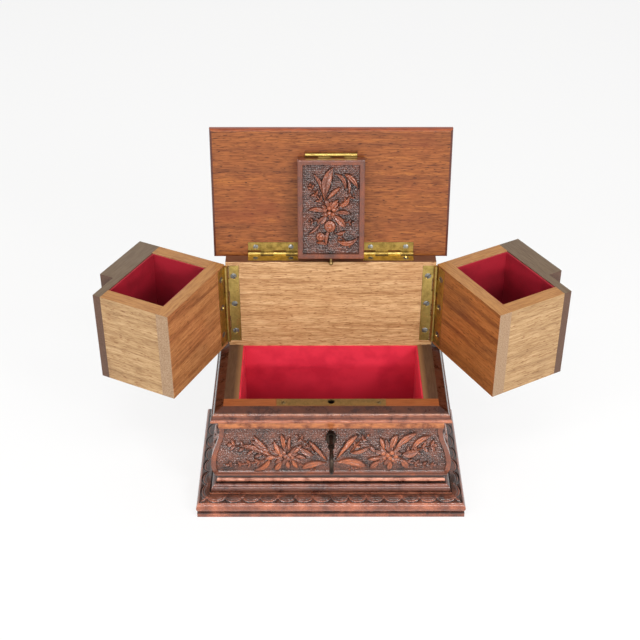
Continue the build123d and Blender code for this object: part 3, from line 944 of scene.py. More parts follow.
    def surface(self) -> tuple:
        """Put the carving together.

        Returns:
            The height above the board's face, and how raised and rubbed each point is, from 0 to 1, lowered
            in the cuts as painted shade.
        """
        bare = np.clip(1 - self.raised / self.bare_height, 0.12, 1)
        ground = -self.depth - self.cut * bare
        height = (ground + self.raised) * (1 - self.border_mask)
        # painted shade: the wear drops in the cuts and dents, so they colour darker
        wear = np.clip(0.34 + 0.42 * self.raised / self.full_height - 0.32 * self.cut * bare, 0, 1)
        wear = wear * (1 - self.border_mask) + self.border_wear * self.border_mask
        return height, wear


def board_grid(left: float, right: float, low: float, high: float, step: float, fit: float = 0.0) -> tuple:
    """Places across and up a board.

    Args:
        left: its left edge.
        right: its right edge.
        low: its lower edge.
        high: its upper edge.
        step: about how far the points stand apart.
        fit: how far they keep in from the edges.

    Returns:
        Both places at each point, shaped (columns, rows).
    """
    x = np.linspace(left + fit, right - fit, int((right - left) / step) + 1)[:, None]
    z = np.linspace(low + fit, high - fit, int((high - low) / step) + 1)[None, :]
    return x + 0 * z, z + 0 * x


def grid_piece(name: str, points: np.ndarray, wear: np.ndarray) -> tuple:
    """Grid laid through points, which keeps each one's wear, with its painted shade, for its finish.

    Args:
        name: the piece's name.
        points: places in millimetres, shaped (columns, rows, 3).
        wear: how rubbed each point is, lowered where shade is painted.

    Returns:
        The object, and each vertex's column and row.
    """
    columns, rows = points.shape[0] - 1, points.shape[1] - 1
    clear_selection()
    bpy.ops.mesh.primitive_grid_add(x_subdivisions=columns, y_subdivisions=rows, size=2.0)
    piece = fresh(name)
    mesh = piece.data
    flat = np.empty(len(mesh.vertices) * 3)
    mesh.vertices.foreach_get("co", flat)
    flat = flat.reshape(-1, 3)
    i = np.rint((flat[:, 0] + 1) / 2 * columns).astype(int)
    j = np.rint((flat[:, 1] + 1) / 2 * rows).astype(int)
    mesh.vertices.foreach_set("co", (points[i, j] * MM).ravel())
    mesh.attributes.new("relief", "FLOAT", "POINT").data.foreach_set("value", wear[i, j].astype(np.float32))
    mesh.update()
    return piece, i, j


def micron_key(point: np.ndarray) -> tuple:
    """Whole microns of a point, to tell points apart."""
    return tuple(np.round(np.array(point, float) * 1e6).astype(int))


def carved_shell(
    name: str, front: np.ndarray, back: np.ndarray, wear: np.ndarray, finish: Material
) -> Piece:
    """Closed board whose front follows a carved grid.

    Args:
        name: the piece's name.
        front: points of the face, in millimetres, shaped (columns, rows, 3).
        back: points behind them on the flat back, of which the outer ones are used.
        wear: how rubbed each point is, lowered where shade is painted.
        finish: the material.

    Returns:
        The object.
    """
    piece, i, j = grid_piece(name, front, wear)
    mesh = piece.data
    placed = front[i, j] * MM
    outer = (i == 0) | (i == front.shape[0] - 1) | (j == 0) | (j == front.shape[1] - 1)
    behind = {micron_key(placed[k]): back[i[k], j[k]] * MM for k in np.nonzero(outer)[0]}

    def draw_back() -> None:
        """Extrude the outer edge."""
        bpy.ops.mesh.region_to_loop()
        bpy.ops.mesh.extrude_region_move(TRANSFORM_OT_translate={"value": (0, 0, 0)})

    edit(piece, draw_back)
    for vertex in mesh.vertices[len(placed):]:
        key = micron_key(vertex.co)
        found = behind.get(key)
        if found is None:
            found = min(behind.items(), key=lambda item: sum(abs(a - b) for a, b in zip(item[0], key)))[1]
        vertex.co = found
    edit(piece, fill_holes, face_outward)
    coat_with(piece, finish, 40)
    return piece


def settle(
    piece: Piece, body: str, nodes: tuple = (), place: Matrix = Matrix.Identity(4)
) -> None:
    """Turn a piece from the shut box to its open place and hand it to its body.

    Args:
        piece: the object, at the origin.
        body: the body that it rides on.
        nodes: the nodes that it stands for.
        place: the turn to apply to its mesh.
    """
    piece.data.transform(place)
    piece.data.update()
    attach(piece, body)
    if nodes:
        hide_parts(*nodes)
    LOG.info("%s: %d faces", piece.name, len(piece.data.polygons))


def circle_through(a: tuple, b: tuple, c: tuple) -> tuple:
    """Centre and radius of the circle through three points."""
    d = 2 * (a[0] * (b[1] - c[1]) + b[0] * (c[1] - a[1]) + c[0] * (a[1] - b[1]))
    sa, sb, sc = (p[0] ** 2 + p[1] ** 2 for p in (a, b, c))
    x = (sa * (b[1] - c[1]) + sb * (c[1] - a[1]) + sc * (a[1] - b[1])) / d
    y = (sa * (c[0] - b[0]) + sb * (a[0] - c[0]) + sc * (b[0] - a[0])) / d
    return x, y, math.hypot(a[0] - x, a[1] - y)


# Foliage: rows of sprigs, leaves and buds, in millimetres from the middle and the floor

FRONT_TWIGS = (
    ((-50, 50), (-84, 60.5), -2, 4, 8), ((-52, 47.5), (-86, 42.5), 1.5, 4, 6.5),
    ((56, 50), (86, 60), 2, 4, 8), ((56, 47.5), (86, 42), -1.5, 4, 6.5),
    ((-13, 54), (-29, 68), -1, 2, 6), ((15, 54), (31, 68.5), 1, 2, 6),
    ((-26, 44), (-12, 36.5), -0.6, 2, 4.6), ((29, 43), (14, 36.5), 0.6, 2, 4.6),
)
FRONT_CARVING = (
    # the left spray
    (-48, 51.4, -75, 59.5, 4.2, -2.6, 1.5, 0.4, VEIN),
    (-50, 54.5, -65, 63, 4.6, -1.2, 1.3, 0.5, HOLLOW),
    (-51, 57.5, -62.5, 67.5, 3.6, 1, 1.4, 0.5, VEIN),
    (-49, 50, -63, 35.5, 4.4, 3.2, 1.4, 0.5, VEIN),
    (-40, 52, -46, 63.5, 4, 0.6, 1.4, 0.55),
    (-38, 55, -40.5, 69, 4, -0.8, 1.6, 0.6, VEIN),
    (-34, 55, -33, 66.5, 3.2, 0.4, 1.4, 0.55),
    (-31, 54, -23.5, 61, 3.4, -0.8, 1.3, 0.5),
    (-13.5, 51.5, -25.5, 58.5, 5, 0.8, 1.4, 0.5, HOLLOW),
    (-44, 50, -53.5, 48.5, 4.2, -0.6, 1.3, 0.5),
    (-40, 47.5, -46, 36, 4.6, 0.8, 1.5, 0.55, VEIN),
    (-35, 47, -34, 38, 4.2, -0.5, 1.3, 0.55),
    (-31, 49, -27, 38.5, 4.2, -0.6, 1.4, 0.55),
    (-29, 51, -20, 49, 3.6, 0.6, 1.2, 0.5),
    (-2.2, 45.2, -18.6, 63.6, 3.8, -0.9, 1.7, 0.6, RIDGE),
    (-2.4, 44.6, -23.5, 38, 6.4, -2.4, 1.6, 0.62, VEIN),
    (-36.5, 51, 2.2, 2.2, 1.6), (-33.2, 52.6, 2, 2, 1.7),
    (-37.8, 54.2, 1.9, 1.9, 1.6), (-34.6, 49, 1.9, 1.9, 1.6),
    (-40.3, 52.2, 1.9, 1.9, 1.5), (-31, 50.2, 1.6, 1.6, 1.5),
    # the right spray
    (57, 52.5, 70.5, 55.5, 6.6, -0.8, 1.5, 0.5, HOLLOW),
    (64, 55, 80.5, 67, 4.4, 2.6, 1.5, 0.55, VEIN),
    (52, 58, 69, 69.8, 5.4, 0.9, 1.5, 0.5, VEIN),
    (48, 56.5, 53.5, 68, 5.6, 0.9, 1.6, 0.55, VEIN),
    (43, 56, 39, 66, 3.8, -0.4, 1.4, 0.55),
    (36.5, 54.5, 30.5, 60.5, 3.6, 0.6, 1.3, 0.5),
    (14.5, 54, 31.5, 59.5, 3.4, -1.8, 1.4, 0.5, VEIN),
    (40, 50, 29, 48, 3.8, 0.6, 1.3, 0.5),
    (40, 46.5, 32, 37.5, 5, -1, 1.4, 0.55, VEIN),
    (47.5, 47, 46, 36.5, 5, 0.8, 1.4, 0.55, VEIN),
    (55, 48.5, 61.5, 38, 5.8, 1.4, 1.5, 0.55, VEIN),
    (2.4, 45.4, 21.4, 68, 4.6, 1.4, 1.8, 0.68, RIDGE),
    (2.4, 44.8, 28.5, 39.8, 7.2, 3.6, 1.6, 0.62, VEIN),
    (45.5, 52, 2.3, 2.3, 1.7), (49, 54, 2.1, 2.1, 1.6),
    (42, 53.5, 2.1, 2.1, 1.6), (47.5, 49.3, 2.1, 2.1, 1.6),
    (52.3, 51, 2.1, 2.1, 1.5), (43, 49.6, 1.9, 1.9, 1.5),
    (50, 47.2, 1.7, 1.7, 1.4),
)
# one half of a side, from its middle
SIDE_CARVING = (
    (8, 52, 34, 60, 4.6, -2.4, 1.5, 0.45, VEIN),
    (8, 49, 30, 41, 6, 2, 1.5, 0.55, VEIN),
    (6, 56, 18, 67.5, 4.6, 1, 1.5, 0.5, VEIN),
    (4, 46, 11, 37, 4.6, 0.8, 1.4, 0.55),
    (32, 51, 44, 66, 4.2, 1.6, 1.4, 0.5, VEIN),
    (33, 48, 45, 37.5, 4.8, -1.2, 1.4, 0.5, VEIN),
)
# the flap's heights start at its bottom edge
FLAP_TWIGS = (
    ((-4, 44), (-17, 62), 1.5, 3, 6), ((6, 44), (18.5, 54), -1, 2, 5.5), ((-5, 33), (-18.5, 31), 0.8, 2, 5),
    ((4, 31), (18.5, 30.5), -0.8, 2, 5), ((1, 23), (15.5, 8.5), 1.2, 2, 5),
)
FLAP_CARVING = (
    (-5, 46, -14.8, 70, 3.6, -2.8, 1.5, 0.5, VEIN),
    (-4.4, 51, 1.6, 74.5, 7.6, 2.2, 1.6, 0.5, HOLLOW),
    (-4.5, 47.5, 7.2, 58.6, 3.8, 0.4, 1.7, 0.6),
    (10.8, 56, 2.2, 69.5, 3.6, -3.6, 1.6, 0.5, VEIN),
    (10, 69, 21, 57, 4.4, 2, 1.7, 0.45, VEIN),
    (12.5, 67, 13.8, 52.5, 3, 1.2, 1.3, 0.5),
    (4.6, 42.6, 14.4, 51, 4, -2.2, 1.6, 0.55, VEIN),
    (0, 41, 6, 48.5, 3.6, 0.8, 1.4, 0.5),
    (-3, 38, -18.2, 39.8, 4.2, -1.6, 1.5, 0.5, VEIN),
    (2.5, 37.8, 15.8, 37.2, 3.6, 0.6, 1.5, 0.55, VEIN),
    (-3.5, 36, -11.5, 28.8, 5.4, 0.8, 1.7, 0.5, HOLLOW),
    (2, 36, 11.6, 25.5, 5.6, 0.6, 1.7, 0.5, HOLLOW),
    (-8, 31, -19, 20, 2.4, 1.8, 0.9, 0.5),
    (-1, 24.5, -3.4, 10.5, 3.4, -1.4, 1.4, 0.45),
    (-3, 10.8, -12.2, 13, 3, -1.2, 1.5, 0.5, VEIN),
    (4.6, 15, 21.4, 17.4, 4.6, -3.6, 1.6, 0.5, VEIN),
    (3, 20.5, 12, 23, 3, -0.8, 1.1, 0.5),
    (-8.2, 18.2, 3.6, 3.4, 1.4), (-8.2, 18.6, 1.8, 1.7, 1.8),
    (-0.9, 26.6, 4.6, 4.8, 1.6), (-0.9, 26.2, 2, 2.6, 2),
    (-1.6, 41.6, 2, 1.9, 1.9), (-4.9, 40, 1.9, 1.7, 1.8),
    (2, 40.4, 1.9, 1.8, 1.8), (-1.4, 37.8, 2, 1.9, 2.1),
    (-4.4, 36.4, 1.7, 1.6, 1.7), (1.4, 36.6, 1.8, 1.7, 1.8),
)


@dataclass
class Frieze:
    """The carved frieze: hollow above, swelling below, with two sprays that meet under the key."""

    band_height: float = 2.8
    neck_height: float = 2.0
    bulge_share: float = 0.377
    turn_share: float = 0.647
    turn_set: float = 1.6
    ground: float = 1.3
    corner_border: float = 4.2
    drawing_foot: float = 2.0
    # painted shadow: how far the wear drops at the frieze's foot, over what height and with what fade
    foot_shade: float = 0.6
    foot_shade_mm: float = 1.4
    foot_shade_fade: float = 0.8
    field_foot: float = 2.6
    field_head: float = 1.2
    dent_pitch: float = 1.6
    dent_depth: float = 0.75
    keyhole: tuple = (3.4, 5.4)
    keyhole_drop: float = 2.6
    keyhole_wall: float = 0.2
    rings: tuple = (((-36.0, 51.5), 12.5, 3.4), ((46.5, 51.5), 13.5, 3.6))
    step_mm: float = 0.37

    def profile(self) -> tuple:
        """Section of the frieze.

        Returns:
            Heights, insets from the plinth's edge, and outward normals as (inset, height) shares.
        """
        tall = BOX.frieze_top - BOX.step_top
        band = (BOX.frieze_band_inset, BOX.step_top + self.band_height)
        bulge = (BOX.frieze_bulge_inset, BOX.step_top + self.bulge_share * tall)
        turn = (BOX.frieze_band_inset + self.turn_set, BOX.step_top + self.turn_share * tall)
        neck = (BOX.frieze_neck_inset, BOX.frieze_top - self.neck_height)
        low = circle_through(band, bulge, turn)
        toward = np.array([turn[0] - low[0], turn[1] - low[1]])
        toward /= np.linalg.norm(toward)
        chord = np.array(neck) - np.array(turn)
        reach = chord @ chord / (2 * chord @ toward)
        high = (turn[0] + toward[0] * reach, turn[1] + toward[1] * reach, abs(reach))
        dense = np.linspace(BOX.step_top, BOX.frieze_top, 2000)
        inset = np.where(
            dense <= band[1], band[0],
            np.where(
                dense <= turn[1], low[0] - np.sqrt(np.clip(low[2] ** 2 - (dense - low[1]) ** 2, 0, None)),
                np.where(
                    dense <= neck[1],
                    high[0] + np.sqrt(np.clip(high[2] ** 2 - (dense - high[1]) ** 2, 0, None)), neck[0],
                ),
            ),
        )
        length = np.concatenate([[0], np.cumsum(np.hypot(np.diff(dense), np.diff(inset)))])
        count = int(length[-1] / self.step_mm)
        even = np.linspace(0, length[-1], count + 1)
        heights = np.interp(even, length, dense)
        insets = np.interp(even, length, inset)
        slope_z = np.gradient(heights, even)
        slope_i = np.gradient(insets, even)
        return heights, insets, np.stack([-slope_z, slope_i], 1)

    def build(self, finish: Material) -> None:
        """Carve the three lengths.

        Args:
            finish: the material.
        """
        heights, insets, normals = self.profile()
        for place in ("front", "left", "right"):
            if place == "front":
                start, end = insets - BOX.half_width, BOX.half_width - insets
                back_end = BOX.half_width - BOX.moulding_reach
                back_start = -back_end
            else:
                start, end = insets - BOX.half_depth, np.full_like(insets, BOX.panel_back)
                back_start, back_end = BOX.moulding_reach - BOX.half_depth, BOX.panel_back
            columns = int((end - start).max() / self.step_mm)
            share = np.linspace(0, 1, columns + 1)[:, None]
            along = start + (end - start) * share
            up = np.broadcast_to(heights, along.shape)
            relief = ReliefField(along, up - self.drawing_foot, self.ground)
            if place == "front":
                relief.twigs(FRONT_TWIGS)
                for centre, outer, width in self.rings:
                    relief.petals(centre, 2.5, outer, 12, width, 1.0)
                relief.carve(FRONT_CARVING)
            else:
                self._carve_side(relief, (start.mean() + end.mean()) / 2)
            relief.stipple(self.dent_pitch, self.dent_depth, SEED)
            field_low = BOX.step_top + self.band_height + self.field_foot
            inside = np.minimum(along - start, end - along) - self.corner_border
            inside = np.minimum(inside, np.minimum(up - field_low, BOX.frieze_top - self.field_head - up))
            relief.border(inside)
            rise, wear = relief.surface()
            # painted shadow: the wear drops over the frieze's lowest band, just above the step, to paint the
            # shade of the recess there
            below = BOX.step_top + self.foot_shade_mm - up
            wear = wear - self.foot_shade * smooth(below / self.foot_shade_fade)
            inset = insets[None, :] + rise * normals[None, :, 0]
            level = up + rise * normals[None, :, 1]
            back_along = back_start + (back_end - back_start) * share + 0 * up
            if place == "front":
                wide, tall = self.keyhole
                hole = np.hypot(along / wide, (up - BOX.key_height + self.keyhole_drop) / tall) < 1
                inset = np.where(hole, BOX.moulding_reach - self.keyhole_wall, inset)
            piece = carved_shell(
                f"carved_frieze_{place}", self._world(place, along, inset, level),
                self._world(place, back_along, np.full_like(along, BOX.moulding_reach), up), wear, finish,
            )
            settle(piece, "base", (f"frieze_{place}",))

    def _carve_side(self, relief: ReliefField, middle: float) -> None:
        """Carve a side: one spray about its middle.

        Args:
            relief: the side's carving.
            middle: the spray's place along the side.
        """
        for hand in HANDS:
            relief.sprig((middle + hand * 9, 50), (middle + hand * 49, 53), hand * 1.5, 4, 9.5)
        for hand in HANDS:
            relief.carve([
                (middle + hand * x0, z0, middle + hand * x1, z1, width, hand * bow, *rest)
                for x0, z0, x1, z1, width, bow, *rest in SIDE_CARVING
            ])
        relief.carve([(middle, 58, middle, 69.5, 4.4, 0.0, 1.5, 0.55)])
        relief.edelweiss((middle, 51.5), 9.0, 9, 90)

    def _world(self, place: str, along: np.ndarray, inset: np.ndarray, level: np.ndarray) -> np.ndarray:
        """Points of one length.

        Args:
            place: front, left or right.
            along: places along it.
            inset: distances in from the plinth's edge.
            level: heights.

        Returns:
            The points.
        """
        if place == "front":
            return np.stack([along, inset - BOX.half_depth, level], -1)
        hand = -1 if place == "left" else 1
        return np.stack([hand * (BOX.half_width - inset), along, level], -1)


@dataclass
class Plinth:
    """The plinth board, with a chain of gouge-cut arcs along its slope."""

    step_mm: float = 0.6
    pitch: float = 14.7
    arc_reach: float = 5.0
    arc_start: float = 0.4
    inner_arc: float = 2.0
    inner_depth: float = 0.6
    cut_depth: float = 0.7
    cut_half_width: float = 0.55
    toe_edge: float = 0.8
    flat_reach: float = 6.0

    def profile(self) -> np.ndarray:
        """Points of the edge's section from the toe up: inset and height."""
        foot_height = BOX.plinth_toe_height + BOX.toe_inset
        crown = (0.0, (foot_height + BOX.plinth_torus_top) / 2)
        foot = (BOX.plinth_torus_reach, foot_height)
        head = (BOX.plinth_torus_reach, BOX.plinth_torus_top)
        cx, cz, radius = circle_through(foot, crown, head)
        low, high = (math.atan2(z - cz, x - cx) for x, z in (foot, head))
        if low > 0:
            low -= 2 * math.pi
        if high > 0:
            high -= 2 * math.pi
        toe_top = BOX.plinth_toe_height
        toe = [(BOX.toe_inset, z) for z in (0.0, toe_top - self.toe_edge, toe_top)]
        arc = [(cx + radius * math.cos(a), cz + radius * math.sin(a)) for a in np.linspace(low, high, 13)]
        slope = [
            (head[0] + (BOX.plinth_slope_reach - head[0]) * s, head[1] + (BOX.plinth_thickness - head[1]) * s)
            for s in np.linspace(0, 1, 17)[1:]
        ]
        flat = [(BOX.plinth_slope_reach + self.flat_reach, BOX.plinth_thickness)]
        return np.array(toe + arc + slope + flat)

    def build(self, finish: Material) -> None:
        """Work the board all round.

        Args:
            finish: the material.
        """
        insets, heights = self.profile().T
        half = (BOX.half_width, BOX.half_depth)
        on_slope = (heights >= BOX.plinth_torus_top - 1e-6) & (insets >= BOX.plinth_torus_reach)
        on_slope = on_slope & (insets <= BOX.plinth_slope_reach)
        nose = (insets < BOX.plinth_torus_reach) & (heights > BOX.plinth_toe_height)
        toe = heights < BOX.plinth_toe_height - 0.5
        shaded_groove = (heights > BOX.plinth_toe_height - 0.5) & (heights < BOX.plinth_toe_height + 0.7)
        runs = []
        for side in range(4):
            reach = half[side % 2]
            share = np.linspace(-1, 1, int(2 * reach / self.step_mm) + 1)[:-1, None]
            along = share * (reach - insets)
            out = half[(side + 1) % 2] - insets + 0 * along
            across = BOX.plinth_slope_reach - insets + 0 * along
            run = 2 * (reach - BOX.plinth_slope_reach)
            pitch = run / max(1, round(run / self.pitch))
            local = ((along + reach - BOX.plinth_slope_reach) % pitch) / pitch * 2 - 1
            arc = self.arc_start + self.arc_reach * np.sqrt(np.clip(1 - local**2, 0, 1))
            inner = np.exp(-(((across - arc + self.inner_arc) / (0.7 * self.cut_half_width)) ** 2))
            cut = np.exp(-(((across - arc) / self.cut_half_width) ** 2))
            cut = np.maximum(cut, self.inner_depth * inner * (arc > self.inner_arc + 0.8)) * on_slope
            lobe = smooth((arc - across) / 0.6) * on_slope
            up = heights + 0 * along - self.cut_depth * cut
            rubbed = 0.34 + 0.3 * (lobe * (1 - smooth((arc - across - 1.6) / 1.2))) + 0.32 * nose + 0.26 * toe
            # painted shade: the wear drops in the gouge cuts, in the groove under the torus and on the two
            # short sides
            wear = np.clip(rubbed - 0.5 * cut - 0.3 * shaded_groove - (0.12 if side % 2 else 0.0), 0, 1)
            x, y = [(along, -out), (out, along), (-along, out), (-out, -along)][side]
            runs.append((np.stack([x, y, up], -1), wear))
        points, wear = (np.concatenate([r[k] for r in runs] + [runs[0][k][:1]]) for k in range(2))
        piece = grid_piece("carved_plinth", points, wear)[0]
        edit(piece, lambda: bpy.ops.mesh.remove_doubles(threshold=1e-6), fill_holes, face_outward)
        coat_with(piece, finish, 35)
        settle(piece, "base", ("plinth_board",))


@dataclass
class Flap:
    """The small carved flap that hangs inside the lid: an edelweiss with long leaves, buds and a stem."""

    step_mm: float = 0.3
    ground: float = 1.5
    dent_pitch: float = 1.7
    dent_depth: float = 0.8
    worn_arris: float = 0.45
    arris_reach: float = 0.9

    def build(self, finish: Material) -> None:
        """Carve the flap.

        Args:
            finish: the material.
        """
        half = BOX.flap_width / 2
        tall = BOX.flap_top - BOX.flap_bottom
        across, up = board_grid(-half, half, 0, tall, self.step_mm)
        relief = ReliefField(across, up, self.ground)
        relief.twigs(FLAP_TWIGS)
        relief.petals((-1.2, 39.5), 2.0, 10.0, 11, 3.2, 1.1)
        relief.carve(FLAP_CARVING)
        relief.stipple(self.dent_pitch, self.dent_depth, SEED + 1)
        edge = np.minimum(half - np.abs(across), np.minimum(up, tall - up))
        relief.border(edge - BOX.carved_border)
        rise, wear = relief.surface()
        rise = rise - self.worn_arris * smooth(1 - edge / self.arris_reach) ** 2
        front = np.stack([across, BOX.carcass_front - rise, BOX.flap_bottom + up], -1)
        back = np.stack([across, np.full_like(across, BOX.flap_back), BOX.flap_bottom + up], -1)
        piece = carved_shell("carved_flap", front, back, wear, finish)
        settle(piece, "flap", ("flap_panel",), OPEN_FLAP)


@dataclass
class CarvedFields:
    """Thin carved grounds let into the trays' fronts and outer sides and the lid's top."""

    step_mm: float = 0.42
    lid_step_mm: float = 0.47
    ground: float = 0.85
    fit: float = 0.1
    bed: float = 0.02
    soft: float = 0.4
    flatter: float = 0.6
    dent_pitch: float = 1.7
    dent_depth: float = 0.45

    def build(self, finish: Material) -> None:
        """Carve the five fields.

        Args:
            finish: the material.
        """
        low, high = BOX.tray_bottom + BOX.carved_border, BOX.tray_top - BOX.carved_border
        inner, outer = BOX.tray_notch + BOX.carved_border, BOX.carcass_side - BOX.carved_border
        start, end = BOX.carcass_front + BOX.carved_border, BOX.tray_back - BOX.carved_border
        for name, hand, place in (("left", -1, OPEN_LEFT), ("right", 1, OPEN_RIGHT)):
            across, up, rise, wear = self._field(outer - inner, high - low, self._upright_spray, self.step_mm)
            x, z = inner + across, low + up
            front = np.stack([hand * x, BOX.carcass_front - rise, z], -1)
            back = np.stack([hand * x, self._bed(BOX.carcass_front, 1, x), z], -1)
            piece = carved_shell(f"{name}_tray_front_carving", front, back, wear, finish)
            settle(piece, f"{name}_tray", place=place)
            across, up, rise, wear = self._field(end - start, high - low, self._square_spray, self.step_mm)
            y, z = start + across, low + up
            side = np.stack([hand * (BOX.carcass_side + rise), y, z], -1)
            back = np.stack([hand * self._bed(BOX.carcass_side, -1, y), y, z], -1)
            piece = carved_shell(f"{name}_tray_side_carving", side, back, wear, finish)
            settle(piece, f"{name}_tray", place=place)
        half = BOX.lid_width / 2 - BOX.lid_border
        start, end = BOX.lid_front + BOX.lid_border, BOX.lid_back - BOX.lid_border
        across, up, rise, wear = self._field(2 * half, end - start, self._lid_spray, self.lid_step_mm)
        top = np.stack([across - half, start + up, BOX.lid_top + rise], -1)
        back = np.stack([across - half, start + up, self._bed(BOX.lid_top, -1, up)], -1)
        settle(carved_shell("lid_top_carving", top, back, wear, finish), "lid", place=OPEN_LID)

    def _bed(self, face: float, inward: int, like: np.ndarray) -> np.ndarray:
        """Places of the back, just clear of the field's floor."""
        return np.full_like(like, face + inward * (BOX.carved_depth - self.bed))

    def _field(self, width: float, tall: float, spray, step: float) -> tuple:
        """Carve one field.

        Args:
            width: the field's width.
            tall: its height.
            spray: the method that draws its foliage.
            step: the grid's step.

        Returns:
            Places across and up, heights from the board's face, and wear.
        """
        across, up = board_grid(0, width, 0, tall, step, self.fit)
        relief = ReliefField(across - width / 2, up - tall / 2, self.ground)
        spray(relief, width / 2, tall / 2)
        relief.raised *= self.flatter
        relief.stipple(self.dent_pitch, self.dent_depth, SEED + 2)
        rise, wear = relief.surface()
        edge = np.minimum(np.minimum(across, width - across), np.minimum(up, tall - up))
        return across, up, np.minimum(rise, -0.05) - 0.15 * smooth(1 - edge / self.soft), wear

    def _upright_spray(self, relief: ReliefField, half: float, top: float) -> None:
        """One flower over a bunch of leaves, for a tall field."""
        relief.twigs((
            ((0, 4), (-6, top - 3), 2.0, 4, 9.0), ((4, 6), (half - 5, top - 8), -2.0, 3, 8.5),
            ((-2, -8), (-half + 3, -top + 5), 2.5, 4, 9.0), ((3, -8), (half - 4, -top + 8), -2.5, 4, 9.0),
            ((-6, 0), (-half + 3, 12), 1.5, 2, 8.0), ((6, -2), (half - 2, 0), 1.0, 2, 8.0),
        ))
        relief.carve([(0, -8, 2, -top + 2, 2.0, -2.0, 1.0, 0.3)])
        relief.edelweiss((0, 0), 11.5, 11, 12)

    def _square_spray(self, relief: ReliefField, half: float, top: float) -> None:
        """Two flowers on crossing twigs, for a squarish field."""
        for hand in HANDS:
            relief.twigs((
                ((hand * 6, 6), (hand * (half - 4), top - 5), hand * -3.0, 4, 9.5),
                ((hand * 6, -8), (hand * (half - 4), -top + 6), hand * 3.0, 4, 9.5),
                ((hand * 12, 0), (hand * (half - 2), 1), hand * 1.0, 3, 8.0),
            ))
        relief.twigs((((0, 8), (0, top - 3), 0.8, 3, 8.5), ((0, -10), (0, -top + 3), -0.8, 3, 8.5)))
        relief.edelweiss((-9, 3), 11.5, 11, 0)
        relief.edelweiss((9.5, -4), 10.5, 11, 20)

    def _lid_spray(self, relief: ReliefField, half: float, top: float) -> None:
        """A garland of three flowers and long twigs, for the lid."""
        for hand in HANDS:
            relief.twigs((
                ((hand * 42, 6), (hand * (half - 4), top - 8), hand * -4.0, 6, 13.0),
                ((hand * 42, -6), (hand * (half - 4), -top + 8), hand * 4.0, 6, 13.0),
                ((hand * 46, 0), (hand * (half - 3), 0), hand * 1.5, 5, 11.0),
                ((hand * 10, 14), (hand * 40, top - 5), hand * -3.0, 4, 12.0),
                ((hand * 10, -14), (hand * 40, -top + 5), hand * 3.0, 4, 12.0),
            ))
            relief.edelweiss((hand * 37, 0), 15.0, 11, 10 * hand)
        relief.twigs((((0, 14), (0, top - 4), 0.8, 3, 11.0), ((0, -14), (0, -top + 4), -0.8, 3, 11.0)))
        relief.edelweiss((0, 0), 19.0, 13, 90)


